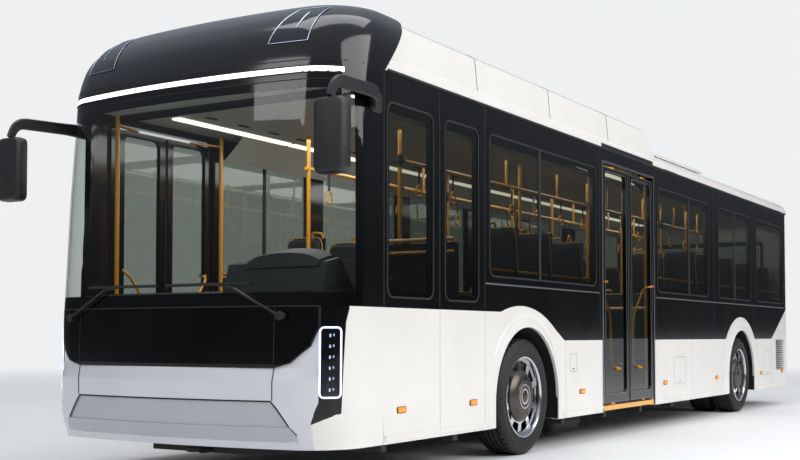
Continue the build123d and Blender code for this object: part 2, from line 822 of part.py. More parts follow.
# Rear axle with its drive housing in the middle, hung from the chassis rails
axle_tube = rod((rear_axle_x, -620, tyre_radius), (rear_axle_x, 620, tyre_radius), 95)
axle_stub = rod((rear_axle_x, 600, tyre_radius), (rear_axle_x, wheel_face - stub_end, tyre_radius), rear_stub)
bowl = rod((rear_axle_x, -190, tyre_radius), (rear_axle_x, 190, tyre_radius), 220)
spring_seat = block(rear_axle_x - 60, rear_axle_x + 60, 420, 500, tyre_radius + 60, high_rail_bottom - 0.3)
parts["rear_axle"] = axle_tube + both_sides(axle_stub) + bowl + both_sides(spring_seat)
motor_radius = 160
motor_x0 = rear_axle_x - 900
parts["drive_motor"] = rod((motor_x0, 0, tyre_radius), (rear_axle_x - 220.3, 0, tyre_radius), motor_radius) + block(
    motor_x0 + 160, motor_x0 + 300, -150, 150, tyre_radius + 100, deck_top - deck_thickness - 0.3
)
parts["rear_battery"] = block(
    rear_x + 180, rear_axle_x - 1850, -850, 850, high_rail_bottom - 330, high_rail_bottom - 0.3
)

# Mirrors on both front pillars
arm_width_out = 38
arm_height_out = 90
mirror_head_depth = 100
mirror_head_x = datum_x + nose_bow + mirror_reach - mirror_head_depth + 70
mirror_head_y = 1420
head_low = 1960
head_high = 2430


def bar(start, end, width, height):
    # Flat bar between two points, its width across and its height upright
    start, end = Vector(*start), Vector(*end)
    along = end - start
    across = Vector(0, 0, 1).cross(along).normalized()
    plane = Plane(origin=(start + end) / 2, x_dir=across, z_dir=along)
    return plane * Box(width, height, along.length)


def mirror_set():
    root = (datum_x - 600, half_width - 20, 2530)
    elbow_low = (datum_x - 420, mirror_head_y - 20, 2540)
    elbow = (mirror_head_x - 20, mirror_head_y, 2525)
    arm = bar(root, elbow_low, arm_width_out, arm_height_out)
    arm += bar((elbow_low[0] - 20, elbow_low[1], elbow_low[2]), elbow, arm_width_out, arm_height_out)
    arm += block(
        elbow[0] - 30, elbow[0] + 30, mirror_head_y - 20, mirror_head_y + 20, head_high - 10, elbow[2] + arm_height_out / 2
    )
    head_outline = Pos(mirror_head_y, (head_low + head_high) / 2) * RectangleRounded(225, head_high - head_low, 55)
    head = extrude(cross_plane(mirror_head_x - 70) * head_outline, amount=mirror_head_depth)
    foot = block(root[0] - 50, root[0] + 50, half_width, half_width + 14, root[2] - 60, root[2] + 60)
    return arm + head + foot - block(root[0] - 200, root[0] + 200, 0, half_width, 2000, 3000)


parts["mirrors"] = group([mirror_set(), other_side(mirror_set())])


# Wipers on the mask, laid on the glass
def wiper(pivot, elbow, blade_from, blade_to):
    def on_front(y, z, out):
        setback = 10 + (z - high_belt) * 50 / 827 if z > high_belt else 10 * max(0, z - 800) / 373
        nose = datum_x + nose_bow - setback
        return (nose - bow_radius + math.sqrt(bow_radius**2 - y**2) + out, y, z)

    base = on_front(*pivot, 0)
    knee = on_front(*elbow, 38)
    first = on_front(*blade_from, 22)
    last = on_front(*blade_to, 22)
    boss = rod((base[0] - 5, base[1], base[2]), (base[0] + 50, base[1], base[2]), 22)
    arm = bar((base[0] + 40, base[1], base[2]), knee, 20, 14)
    middle = on_front((blade_from[0] + blade_to[0]) / 2, (blade_from[1] + blade_to[1]) / 2, 26)
    arm += bar(knee, middle, 16, 12)
    blade = bar(first, middle, 16, 20) + bar(middle, last, 16, 20)
    return boss + arm + blade


wipers = [
    wiper((930, 1110), (560, 1300), (20, 1318), (700, 1322)),
    wiper((-930, 1110), (-560, 1300), (-740, 1322), (-60, 1318)),
]
parts["wipers"] = (wipers[0] + wipers[1]) - front_loft(front_levels, corner_seam) - front_loft(screen_levels, corner_seam)

# Dashboard across the front with a hump before the driver
dash_depth = 420
dash_section = (
    (datum_x - 120, 1170),
    (datum_x - 150, 1250),
    (datum_x - 560, 1300),
    (datum_x - 600, 1180),
    (datum_x - 430, 700),
    (datum_x - 380, floor_top + 0.3),
    (datum_x - 120, floor_top + 0.3),
)
dash_half = 1130
dash_low = side_prism(dash_section, -dash_half + 60, dash_half)
hump_section = (
    (datum_x - 260, 1250),
    (datum_x - 330, 1470),
    (datum_x - 470, 1500),
    (datum_x - 640, 1300),
    (datum_x - 600, 1180),
    (datum_x - 300, 1180),
)
dash_hump = side_prism(hump_section, 250, 1080)
dash = (dash_low + dash_hump) & front_loft(((floor_top - 20, 20, 0), (800, 0, 0), (1173, 10, 0), (1600, 36, 0)), corner_seam - 300, wall + 40)
parts["dashboard"] = dash

# Driver's place
driver_y = 720
driver_x = datum_x - 1250
wheel_x = datum_x - 760
wheel_z = 1330
rake = 28
steering_plane = Plane(origin=(wheel_x, driver_y, wheel_z), x_dir=(0, 1, 0), z_dir=(-math.sin(math.radians(rake)), 0, math.cos(math.radians(rake))))
grip_ring = Cylinder(250, 26) - Cylinder(222, 30)
spokes = Box(450, 34, 12) + Cylinder(60, 30)
column_end = (datum_x - 560, driver_y, 1000)
steering = steering_plane * (grip_ring + spokes) + rod((wheel_x, driver_y, wheel_z), column_end, 32)
parts["steering_wheel"] = steering - dash
seat_base = floor_top + 0.3
driver_seat = (
    block(driver_x - 160, driver_x + 160, driver_y - 170, driver_y + 170, seat_base, seat_base + 320)
    + block(driver_x - 250, driver_x + 250, driver_y - 240, driver_y + 240, seat_base + 320, seat_base + 440)
    + side_prism(
        (
            (driver_x - 250, seat_base + 430),
            (driver_x - 130, seat_base + 430),
            (driver_x - 260, seat_base + 1120),
            (driver_x - 350, seat_base + 1120),
        ),
        driver_y - 225,
        driver_y + 225,
    )
)
parts["driver_seat"] = driver_seat
partition_x = datum_x - 1830
parts["driver_partition"] = block(partition_x - 30, partition_x, 330, inner_half - 0.3, seat_base, 1690)

# Podium behind the left wheel box, under one seat
podium_top = 720
podium = block(datum_x - 4470, datum_x - 3590, half_width - steer_box_depth, inner_half - 2, floor_top, podium_top)
parts["wheel_boxes"] = group([wheel_boxes, podium])

# Passenger seats: row, front of seat back station, side, base height
seat_width = 430
seat_pitch = 440
cushion = 70
back_height = 720
seat_rows = (
    # station of the cushion's front edge, side, height it stands on, seats, rise to the cushion's top
    (-2530, 1, wheel_box_top, 1, 100),
    (-3220, 1, wheel_box_top, 1, 100),
    (-3920, 1, podium_top, 1, 430),
    (-6330, 1, floor_top, 2, 430),
    (-2530, -1, wheel_box_top, 1, 100),
    (-3220, -1, wheel_box_top, 1, 100),
    (-4100, -1, floor_top, 2, 430),
    (-4850, -1, floor_top, 2, 430),
    (-5600, -1, floor_top, 2, 430),
    (-6350, -1, floor_top, 2, 430),
    (-7400, 1, deck_top, 2, 430),
    (-7400, -1, deck_top, 2, 430),
    (-8100, 1, deck_top, 2, 430),
    (-8100, -1, deck_top, 2, 430),
    (-8950, 1, wheel_box_top, 1, 200),
    (-8950, -1, wheel_box_top, 1, 200),
    (rear_x + 1825 - datum_x, 1, deck_top, 2, 430),
    (rear_x + 1825 - datum_x, -1, deck_top, 2, 430),
)
seat_depth = 420


def seat_row(station, side, base, count, rise):
    front = datum_x + station
    outer_y = inner_half - 12
    width = count * seat_pitch - 10
    y0, y1 = outer_y - width, outer_y
    top = base + rise
    leg = block(front - 300, front - 120, y0 + 60, y0 + 120 if count > 1 else y1 - 60, base + 0.3, top - cushion + 5)
    pad = block(front - seat_depth, front, y0, y1, top - cushion, top)
    back = side_prism(
        (
            (front - seat_depth + 10, top - cushion),
            (front - seat_depth + 70, top - cushion + 5),
            (front - seat_depth - 20, top + back_height),
            (front - seat_depth - 75, top + back_height),
        ),
        y0,
        y1,
    )
    shape = leg + pad + back
    return shape if side > 0 else other_side(shape)


back_row_front = rear_x + wall + 620
back_row = block(back_row_front - 480, back_row_front, -1100, 1100, deck_top + 360, deck_top + 430)
back_row += block(back_row_front - 300, back_row_front - 150, -1000, 1000, deck_top + 0.3, deck_top + 365)
back_row += side_prism(
    (
        (back_row_front - 480, deck_top + 360),
        (back_row_front - 400, deck_top + 360),
        (back_row_front - 480, deck_top + 1130),
        (back_row_front - 540, deck_top + 1130),
    ),
    -1100,
    1100,
)
parts["passenger_seats"] = group([seat_row(*row) for row in seat_rows] + [back_row])

# Handrails: two long rails under the ceiling, stanchions between floor and rail
rail_line_y = 460
rail_line_z = 2420
tube = 17
rail_rear = rear_x + 1075 - datum_x
rail_ends = (-2200, rail_rear)
stanchions = {
    # side: station and foot height of each stanchion
    1: ((-2240, floor_top), (-3750, floor_top), (-4500, floor_top), (-6230, floor_top), (-7330, deck_top), (-8680, deck_top),
        (-9700, deck_top), (rail_rear + 50, deck_top)),
    -1: ((-2240, floor_top), (-3750, floor_top), (-4700, floor_top), (-6220, floor_top), (-7330, deck_top), (-8680, deck_top),
         (-9700, deck_top), (rail_rear + 50, deck_top)),
}


def rail_side(side):
    y = side * rail_line_y
    shape = rod((datum_x + rail_ends[0], y, rail_line_z), (datum_x + rail_ends[1], y, rail_line_z), tube)
    for station, base in stanchions[side]:
        shape += upright(datum_x + station, y, base + 0.3, ceiling_z - 0.3, tube)
    return shape


parts["handrails"] = group([rail_side(1), rail_side(-1)])

# Tow brackets at both ends, each with a vertical pin bore
tow_radius = 18
tow_plate = 30


def tow_bracket(x, direction, z):
    plate = block(x, x + direction * 120, -60, 60, z - tow_plate / 2, z + tow_plate / 2)
    eye = upright(x + direction * 120, 0, z - tow_plate / 2, z + tow_plate / 2, 60)
    bore = upright(x + direction * 120, 0, z - 100, z + 100, tow_radius)
    return plate + eye - bore


rear_tow_z = 225
front_tow_z = 200
parts["tow_brackets"] = group(
    [
        block(datum_x - 450, datum_x - 400, -500, 500, rail_bottom, floor_under - 0.3)
        + tow_bracket(datum_x - 405, 1, front_tow_z),
        block(rear_x + 130, rear_x + 165, -520, 520, high_rail_bottom - 120, high_rail_bottom - 0.3)
        + block(rear_x + 130, rear_x + 165, -60, 60, rear_tow_z - tow_plate / 2, high_rail_bottom - 110)
        + tow_bracket(rear_x + 190, -1, rear_tow_z),
    ]
)


# Doors: in each doorway two leaves, each carried by a turning column behind the jamb
def leaf_set(name, side, front, rear):
    width = (front - rear - 2 * leaf_gap - centre_gap) / 2
    for word, jamb, inward in (("front", front, -1), ("rear", rear, 1)):
        near = jamb + inward * leaf_gap
        far = near + inward * width
        x0, x1 = min(near, far), max(near, far)
        y0, y1 = leaf_y - leaf_thickness / 2, leaf_y + leaf_thickness / 2
        glass_x0, glass_x1 = x0 + leaf_stile, x1 - leaf_stile
        glass_z0, glass_z1 = leaf_foot + leaf_bottom_rail, leaf_head - leaf_top_rail
        glass_y = (leaf_y - glass_thickness / 2, leaf_y + glass_thickness / 2)
        glass = side_panel(glass_x0, glass_x1, glass_z0, glass_z1, 50, *glass_y)
        leaf = block(x0, x1, y0, y1, leaf_foot, leaf_head)
        leaf -= side_panel(glass_x0, glass_x1, glass_z0, glass_z1, 50, y0 - 5, y1 + 5)
        column_x = jamb - inward * column_behind
        column_y = leaf_y - column_inboard
        pivot_x = (column_x + far - inward * roller_inset) / 2
        length = math.hypot(pivot_x - column_x, leaf_y - column_y)
        turn = math.degrees(math.atan2(leaf_y - column_y, pivot_x - column_x))
        arms = upright(column_x, column_y, column_foot, column_head, column_radius)
        for level in (low_arm_z, high_arm_z):
            bar = Pos(length / 2, 0, 0) * Box(length, arm_width, arm_height)
            bar += Pos(length, 0, 0) * Cylinder(arm_width / 2, arm_height)
            arms += Pos(column_x, column_y, level) * Rot(0, 0, turn) * bar
        arms -= upright(pivot_x, leaf_y, low_arm_z - 20, high_arm_z + 20, pivot_radius + pivot_play)
        leaf += upright(pivot_x, leaf_y, low_arm_z - arm_height / 2, leaf_foot + 5, pivot_radius)
        leaf += upright(pivot_x, leaf_y, leaf_head - 5, high_arm_z + arm_height / 2, pivot_radius)
        stem = name + "_door_" + word
        for key, shape in ((stem + "_leaf", leaf), (stem + "_glass", glass), (stem + "_arms", arms)):
            parts[key] = shape if side > 0 else other_side(shape)


for doorway in doorways:
    leaf_set(*doorway)

os.makedirs(parts_folder, exist_ok=True)
for name, shape in parts.items():
    export_step(shape if isinstance(shape, Compound) else Compound(children=shape.solids()), parts_folder + "/" + name + ".step")
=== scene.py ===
# %% [markdown]
# This script dresses a low-floor electric city bus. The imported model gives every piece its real
# place and size in metres. Here each surface gets its finish, and the pieces that a bus builder
# fits last, such as seals, lamps, treads, cushions and rails, are modelled over that frame.

import math

import bmesh
import bpy
from mathutils import Matrix, Vector


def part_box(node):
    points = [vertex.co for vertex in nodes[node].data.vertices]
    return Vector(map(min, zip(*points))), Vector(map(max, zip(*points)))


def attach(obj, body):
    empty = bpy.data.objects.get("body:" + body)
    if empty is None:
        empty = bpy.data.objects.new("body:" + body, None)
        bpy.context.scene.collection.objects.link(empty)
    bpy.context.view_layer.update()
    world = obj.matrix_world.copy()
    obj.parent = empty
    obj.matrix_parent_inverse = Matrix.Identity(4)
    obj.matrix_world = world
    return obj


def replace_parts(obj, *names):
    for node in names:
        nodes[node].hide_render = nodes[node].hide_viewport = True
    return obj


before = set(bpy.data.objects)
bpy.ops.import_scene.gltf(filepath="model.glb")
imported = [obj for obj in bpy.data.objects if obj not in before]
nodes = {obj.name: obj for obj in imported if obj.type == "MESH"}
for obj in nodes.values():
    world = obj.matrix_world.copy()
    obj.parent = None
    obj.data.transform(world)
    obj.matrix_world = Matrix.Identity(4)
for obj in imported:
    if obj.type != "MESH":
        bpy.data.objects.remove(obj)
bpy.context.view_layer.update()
scene = bpy.context.scene

# %% [markdown]
# Colours are written as sRGB hex, the way a paint card gives them, and Blender wants them linear.
# A material is a small tree of nodes, so one function adds a node with its settings and links.


# %% Colour and node helpers
def linear(hex_colour):
    channels = [int(hex_colour[i : i + 2], 16) / 255 for i in (1, 3, 5)]
    return tuple(c / 12.92 if c <= 0.04045 else ((c + 0.055) / 1.055) ** 2.4 for c in channels) + (1.0,)


def add_node(tree, kind, settings=None, **inputs):
    # An input is given by its name, with _ for a space, or as i0, i1 by its number
    node = tree.nodes.new(kind)
    for name, value in (settings or {}).items():
        setattr(node, name, value)
    for name, value in inputs.items():
        numbered = name[0] == "i" and name[1:].isdigit()
        socket = node.inputs[int(name[1:])] if numbered else node.inputs[name.replace("_", " ")]
        if isinstance(value, bpy.types.NodeSocket):
            tree.links.new(value, socket)
        else:
            socket.default_value = value
    return node


def new_material(name):
    material = bpy.data.materials.new(name)
    material.use_nodes = True
    material.node_tree.nodes.clear()
    return material, material.node_tree


def set_surface(tree, surface, kind="ShaderNodeOutputMaterial"):
    output = add_node(tree, kind)
    tree.links.new(surface, output.inputs["Surface"])


def principled(tree, **inputs):
    # One Principled shader is the whole surface
    set_surface(tree, add_node(tree, "ShaderNodeBsdfPrincipled", **inputs).outputs["BSDF"])


def mixed(tree, share, first, second):
    return add_node(tree, "ShaderNodeMixShader", i0=share, i1=first, i2=second).outputs["Shader"]


def real_place(tree):
    # Object coordinates are metres on the bus itself
    return add_node(tree, "ShaderNodeTexCoord").outputs["Object"]


def noise(tree, size_mm, detail=2.0):
    # One noise cell is size_mm across on the real surface
    return add_node(
        tree, "ShaderNodeTexNoise", Vector=real_place(tree), Scale=1000 / size_mm, Detail=detail
    ).outputs["Fac"]


def ranged(tree, value, start, end, low, high):
    return add_node(tree, "ShaderNodeMapRange", i0=value, i1=start, i2=end, i3=low, i4=high).outputs["Result"]


def spread(tree, value, low, high):
    # Noise keeps mostly between 0.3 and 0.7, and that becomes low to high
    return ranged(tree, value, 0.3, 0.7, low, high)


def bumped(tree, height, strength, depth_mm):
    return add_node(
        tree, "ShaderNodeBump", Height=height, Strength=strength, Distance=depth_mm / 1000
    ).outputs["Normal"]


def two_colours(tree, share, first, second):
    return add_node(
        tree, "ShaderNodeMix", {"data_type": "RGBA"}, i0=share, i6=linear(first), i7=linear(second)
    ).outputs[2]


def coordinate(tree, axis):
    return add_node(tree, "ShaderNodeSeparateXYZ", Vector=real_place(tree)).outputs[axis]


def maths(tree, operation, first, second=0.0):
    return add_node(tree, "ShaderNodeMath", {"operation": operation}, i0=first, i1=second).outputs[0]


# %% [markdown]
# Body paint on a bus is a base coat under a clear lacquer. The lacquer has the faint waviness of
# orange peel, a few millimetres across, and road film dulls it a little in cloudy patches. A
# Principled shader with a coat gives both layers, and two noises give the peel and the film.


# %% Painted finishes
def lacquered(name, colour, shade, roughness=0.3, metallic=0.0, coat=0.6, film=0.08, peel_mm=9.0):
    # The paint shifts a little towards the shade where film lies on it
    material, tree = new_material(name)
    film_pattern = noise(tree, 600.0, 5.0)
    principled(
        tree,
        Base_Color=two_colours(tree, spread(tree, film_pattern, 0.0, 1.0), colour, shade),
        Metallic=metallic,
        Roughness=spread(tree, film_pattern, roughness, roughness + film),
        Normal=bumped(tree, noise(tree, peel_mm), 0.04, 0.3),
        Coat_Weight=coat,
        Coat_Roughness=0.05,
    )
    return material


white_lacquer = lacquered("white_lacquer", "#E6E3DE", "#DFDBD5")
# The bumper's silver is partly its own cool, slightly metallic hue and partly painted shade: it is drawn
# darker than the white because the front faces away from the light. The grey below is the same paint in
# deeper painted shade, for the bumper's lower centre panel and lip.
silver_paint_with_painted_shade = lacquered("silver_paint_with_painted_shade", "#D2D2D8", "#C8C8CE", 0.32, metallic=0.15)
painted_shade_grey = lacquered("bumper_grey_painted_shade", "#B3B4BA", "#A8AAB0", 0.36, metallic=0.2)
black_lacquer = lacquered(
    "black_gloss_lacquer", "#070708", "#0A0A0B", 0.09, coat=0.0, film=0.04, peel_mm=30.0
)
rail_enamel = lacquered("yellow_rail_enamel", "#F0A818", "#E79C12", 0.28)
machine_grey = lacquered("machine_grey_paint", "#4A4C4F", "#414346", 0.45)

# %% [markdown]
# Moulded plastics and rubber have a fine grain from the tool they were pressed in. It scatters the
# highlight, so they look soft beside the lacquer. A noise at the grain's real size drives a bump.


# %% Moulded finishes
def moulded(name, colour, shade, roughness=0.5, grain_mm=1.6, depth_mm=0.25, strength=0.3):
    material, tree = new_material(name)
    principled(
        tree,
        Base_Color=two_colours(tree, noise(tree, 180.0, 4.0), colour, shade),
        Roughness=spread(tree, noise(tree, 60.0), roughness - 0.04, roughness + 0.06),
        Normal=bumped(tree, noise(tree, grain_mm, 3.0), strength, depth_mm),
    )
    return material


# Name, colour, shade, roughness, grain in mm, its depth in mm and its strength
black_abs = moulded("grained_black_abs", "#121214", "#18181A", 0.42)
joint_rubber = moulded("joint_rubber", "#0C0C0D", "#121213", 0.65, 2.0, 0.2)
tyre_rubber = moulded("tyre_rubber", "#111112", "#191817", 0.6, 2.0, 0.4)
dash_skin = moulded("soft_dash_skin", "#1B1C1E", "#222326", 0.6, 1.2, 0.3)
lining_board = moulded("pale_lining_board", "#BDBCB7", "#B3B2AD", 0.55, 2.5, 0.1)
arch_liner = moulded("pressed_felt_liner", "#0B0B0C", "#101011", 0.9, 6.0, 1.0, 0.6)
wax_coat = moulded("wax_coated_steel", "#1C1D1F", "#2A2826", 0.55, 4.0, 0.3)
cast_coat = moulded("painted_cast_steel", "#2A2B2D", "#343230", 0.5, 3.0, 0.5)
seat_shell = moulded("seat_shell_plastic", "#2A2C30", "#303238", 0.4, 1.4, 0.15)
blank_plate = moulded("blank_plate_sheet", "#D5D6D6", "#CBCCCC", 0.4, 1.0, 0.05)

# %% [markdown]
# The floor is vinyl sheet with mineral flakes rolled in for grip. The flakes are 2 to 4 mm, drawn
# here as the pale cores of a Voronoi pattern's cells.

# %% Floor covering
floor_vinyl, tree = new_material("flaked_floor_vinyl")
flake_spacing_mm = 9.0
flakes = add_node(
    tree, "ShaderNodeTexVoronoi", Vector=real_place(tree), Scale=1000 / flake_spacing_mm
).outputs["Distance"]
principled(
    tree,
    Base_Color=two_colours(tree, ranged(tree, flakes, 0.12, 0.2, 1.0, 0.0), "#4E5156", "#8A8D90"),
    Roughness=spread(tree, noise(tree, 300.0), 0.5, 0.62),
    Normal=bumped(tree, flakes, 0.2, 0.3),
)

# %% [markdown]
# Seat cloth on buses is a flat woven moquette in a dark, hard-wearing yarn. Its threads are about
# a millimetre apart and are drawn at 4 mm so that they show. Two crossed waves give the weave.

# %% Seat cloth
seat_cloth, tree = new_material("woven_moquette")
# A wave texture turns 20 times in 2 pi, and half a turn is one thread
thread_mm = 4.0
wave_scale = 1000 / thread_mm / 20 * math.pi
warp, weft = [
    add_node(
        tree, "ShaderNodeTexWave", {"bands_direction": axis}, Vector=real_place(tree), Scale=wave_scale
    ).outputs["Fac"]
    for axis in ("Y", "X")
]
weave = maths(tree, "MULTIPLY", warp, weft)
principled(
    tree,
    Base_Color=two_colours(tree, maths(tree, "MULTIPLY", weave, noise(tree, 90.0)), "#232428", "#4A4C52"),
    Roughness=0.85,
    Sheen_Weight=0.25,
    Normal=bumped(tree, weave, 0.5, 0.5),
)

# %% [markdown]
# Bare metals: polished aluminium wheels mirror their surroundings, the hub covers are a satin
# bronze-grey, and the trims are anodised. Turned metal has fine rings, so its roughness varies.


# %% Bare metals
def bare_metal(name, colour, roughness, grain_mm=3.0):
    material, tree = new_material(name)
    principled(
        tree,
        Base_Color=linear(colour),
        Metallic=1.0,
        Roughness=spread(tree, noise(tree, grain_mm, 3.0), roughness * 0.8, roughness * 1.3),
    )
    return material


polished_rim = bare_metal("polished_aluminium", "#D2D3D5", 0.16, 14.0)
hub_bronze = bare_metal("satin_bronze_cover", "#5C5650", 0.32, 5.0)
trim_aluminium = bare_metal("anodised_aluminium", "#8D8F92", 0.36, 2.0)
zinc_steel = bare_metal("zinc_plated_steel", "#A9AAA8", 0.4, 4.0)
# The blue tint of this chrome is a painted reflection of the sky
rim_chrome_painted_blue_reflection = bare_metal("rim_chrome_painted_blue_reflection", "#A3B0C2", 0.3, 5.0)
mirror_glass = bare_metal("silvered_mirror_glass", "#E4E7E9", 0.03, 50.0)

# %% [markdown]
# Glass in thin panes lets light straight through, so a tinted Transparent shader stands for the
# body of the pane, with a sharp reflection over it that grows towards grazing angles. A refracting
# pane would keep the cabin lamps out and render slowly. The windscreen carries a printed ceramic
# border, so its shader turns to black enamel near the edges.


# %% Glass
def paned(name, tint, film_colour, film_share, border=None):
    material, tree = new_material(name)
    clear = add_node(tree, "ShaderNodeBsdfTransparent", Color=linear(tint))
    film = add_node(tree, "ShaderNodeBsdfPrincipled", Base_Color=linear(film_colour), Roughness=0.1)
    pane = mixed(tree, film_share, clear.outputs["BSDF"], film.outputs["BSDF"])
    mirror = add_node(tree, "ShaderNodeBsdfGlossy", Color=(1, 1, 1, 1), Roughness=0.02)
    # Only the face towards the eye reflects: from behind, an unrefracted ray would seem totally reflected
    edge = add_node(tree, "ShaderNodeFresnel", IOR=1.45).outputs["Fac"]
    behind = add_node(tree, "ShaderNodeNewGeometry").outputs["Backfacing"]
    reflected = maths(tree, "MULTIPLY", edge, maths(tree, "SUBTRACT", 1.0, behind))
    surface = mixed(tree, reflected, pane, mirror.outputs["BSDF"])
    if border:
        low, high, side = border
        height = coordinate(tree, "Z")
        above = maths(tree, "GREATER_THAN", height, low)
        below = maths(tree, "LESS_THAN", height, high)
        within = maths(tree, "LESS_THAN", maths(tree, "ABSOLUTE", coordinate(tree, "Y")), side)
        inside = maths(tree, "MULTIPLY", maths(tree, "MULTIPLY", above, below), within)
        enamel = add_node(tree, "ShaderNodeBsdfPrincipled", Base_Color=linear("#050506"), Roughness=0.06)
        surface = mixed(tree, inside, enamel.outputs["BSDF"], surface)
    set_surface(tree, surface)
    return material


# Foot, head and half breadth of the windscreen's clear field
clear_field = (1.262, 2.585, 1.2745)
windscreen_glass = paned("laminated_windscreen", "#ECEFED", "#101413", 0.03, clear_field)
side_glass = paned("tinted_side_glass", "#BCC0BA", "#050605", 0.12)
door_glass = paned("tinted_door_glass", "#C4C8C3", "#050605", 0.10)

# %% [markdown]
# Lamps are lenses over light-emitting diodes. The emission is kept low enough that the lens keeps
# its shape in the render, because the lamps light nothing but themselves.


# %% Lamps
def glowing(name, colour, strength, roughness=0.15):
    material, tree = new_material(name)
    principled(
        tree,
        Base_Color=linear(colour),
        Roughness=roughness,
        Emission_Color=linear(colour),
        Emission_Strength=strength,
        Normal=bumped(tree, noise(tree, 5.0), 0.05, 0.3),
    )
    return material


led_white = glowing("white_led_guide", "#F4F8FF", 1.6)
led_ring = glowing("headlamp_light_guide", "#DCE6F8", 1.0, 0.2)
led_marks = glowing("headlamp_led_marks", "#9FB0CC", 0.45, 0.2)
led_cabin = glowing("cabin_light_strip", "#FFF6E4", 2.2)
amber_lens = glowing("amber_marker_lens", "#F08A10", 0.35)
red_lens = glowing("red_lamp_lens", "#A3100C", 0.12)
smoked_lens = lacquered("smoked_lamp_lens", "#0B0D11", "#0F1218", 0.05, coat=0.0, film=0.02, peel_mm=40.0)
screen_glass = glowing("dark_display_glass", "#0A1016", 0.02, 0.06)

# %% [markdown]
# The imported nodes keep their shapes. Each gets the finish of the real piece.

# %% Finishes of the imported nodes
finish_of = {
    white_lacquer: (
        "left_skirt", "right_skirt", "front_corner_panels", "roof_fairing", "rear_wall", "rear_hatch", "roof",
        "air_conditioner",
    ),
    black_lacquer: ("left_upper_wall", "right_upper_wall", "front_mask", "front_pillars", "front_dome"),
    # The bumper's silver and its centre panel's grey hold painted shade
    silver_paint_with_painted_shade: ("front_bumper",),
    painted_shade_grey: ("bumper_centre_panel",),
    windscreen_glass: ("windscreen",),
    side_glass: ("windows",),
    smoked_lens: ("front_lamps",),
    red_lens: ("rear_lamps",),
    dash_skin: ("dashboard", "driver_partition"),
    rail_enamel: ("handrails",),
    lining_board: ("wheel_boxes", "ceiling"),
    floor_vinyl: ("floor",),
    wax_coat: ("chassis_frame", "rear_battery", "tow_brackets"),
    machine_grey: ("roof_batteries", "drive_motor"),
    cast_coat: ("front_axle", "rear_axle", "knuckle_left", "knuckle_right"),
}
for name, node in nodes.items():
    chosen = black_abs
    for material, names in finish_of.items():
        if name in names:
            chosen = material
    if name.startswith("tyre"):
        chosen = tyre_rubber
    if name.startswith("rim"):
        chosen = polished_rim
    if name.endswith("_glass"):
        chosen = door_glass
    if name.endswith("_leaf"):
        chosen = black_lacquer
    if name.endswith("_arms"):
        chosen = rail_enamel
    node.data.materials.clear()
    node.data.materials.append(chosen)
print("finished nodes", len(nodes))

# %% [markdown]
# Nearly every new piece is a section carried along a line: a seal, a rail, a tube or a tread. A
# grid wrapped round such a line makes them all, so one helper skins a row of sections and the
# others only say where the sections go. The piece's object stays at the origin, with its place in
# its mesh, and rides on the CAD body that carries it.


# %% Piece and skin helpers
def new_object(name, shape):
    mesh = bpy.data.meshes.new(name)
    shape.to_mesh(mesh)
    shape.free()
    made = bpy.data.objects.new(name, mesh)
    scene.collection.objects.link(made)
    return made


def add_piece(name, shape, material, body="root", angle=34):
    bmesh.ops.remove_doubles(shape, verts=shape.verts, dist=0.00002)
    bmesh.ops.recalc_face_normals(shape, faces=shape.faces)
    piece = new_object(name, shape)
    piece.data.shade_smooth()
    piece.data.set_sharp_from_angle(angle=math.radians(angle))
    piece.data.materials.append(material)
    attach(piece, body)
    print(name, len(piece.data.polygons), "faces on", body)
    return piece


def absorb(target, part, place=None, keep=False):
    # Adds part to target, moved by place
    mesh = bpy.data.meshes.new("passing")
    part.to_mesh(mesh)
    if place is not None:
        mesh.transform(place)
    target.from_mesh(mesh)
    bpy.data.meshes.remove(mesh)
    if not keep:
        part.free()


mirror_y = Matrix.Diagonal((1, -1, 1, 1))


def both_sides(part):
    whole = bmesh.new()
    absorb(whole, part, keep=True)
    absorb(whole, part, mirror_y)
    return whole


def skin(sections, ring=True, loop=False):
    # Sections are equal rows of points; ring closes each section, loop joins the last to the first
    rows = sections + sections[:1] if loop else sections
    across = len(rows[0]) if ring else len(rows[0]) - 1
    shape = bmesh.new()
    bmesh.ops.create_grid(shape, x_segments=len(rows) - 1, y_segments=across, size=1)
    for vert in shape.verts:
        row = round((vert.co.x + 1) / 2 * (len(rows) - 1))
        place = round((vert.co.y + 1) / 2 * across)
        vert.co = rows[row][place % len(rows[0])]
    bmesh.ops.remove_doubles(shape, verts=shape.verts, dist=0.00001)
    if ring and not loop:
        open_edges = [edge for edge in shape.edges if edge.is_boundary]
        bmesh.ops.holes_fill(shape, edges=open_edges, sides=0)
    return shape


def swept(points, section, up=(0, 0, 1), loop=False):
    # Carries a section of (across, up) offsets along points; up is one direction, or one for each point
    points = [Vector(point) for point in points]
    ups = [Vector(u) for u in up] if hasattr(up[0], "__len__") else [Vector(up)] * len(points)
    sections = []
    for index, point in enumerate(points):
        before = points[index - 1] if index or loop else point
        after = points[(index + 1) % len(points)] if index + 1 < len(points) or loop else point
        along = (after - before).normalized()
        across = along.cross(ups[index]).normalized()
        lift = across.cross(along)
        sections.append([point + across * a + lift * b for a, b in section])
    return skin(sections, loop=loop)


def circle(radius, sides=8):
    turns = [2 * math.pi * i / sides for i in range(sides)]
    return [(radius * math.cos(turn), radius * math.sin(turn)) for turn in turns]


def stacked(rings, sides, place):
    # Skins circles of (radius, level); place says where a circle's point at that level lies
    return skin([[place(a, b, level) for a, b in circle(radius, sides)] for radius, level in rings])


def flat(width, height, edge=0.0):
    # Section of a flat bar lying on its line, with its edges broken
    half = width / 2
    if not edge:
        return [(-half, 0), (half, 0), (half, height), (-half, height)]
    broken = [(half, height - edge), (half - edge, height), (edge - half, height), (-half, height - edge)]
    return [(-half, 0), (half, 0), *broken]


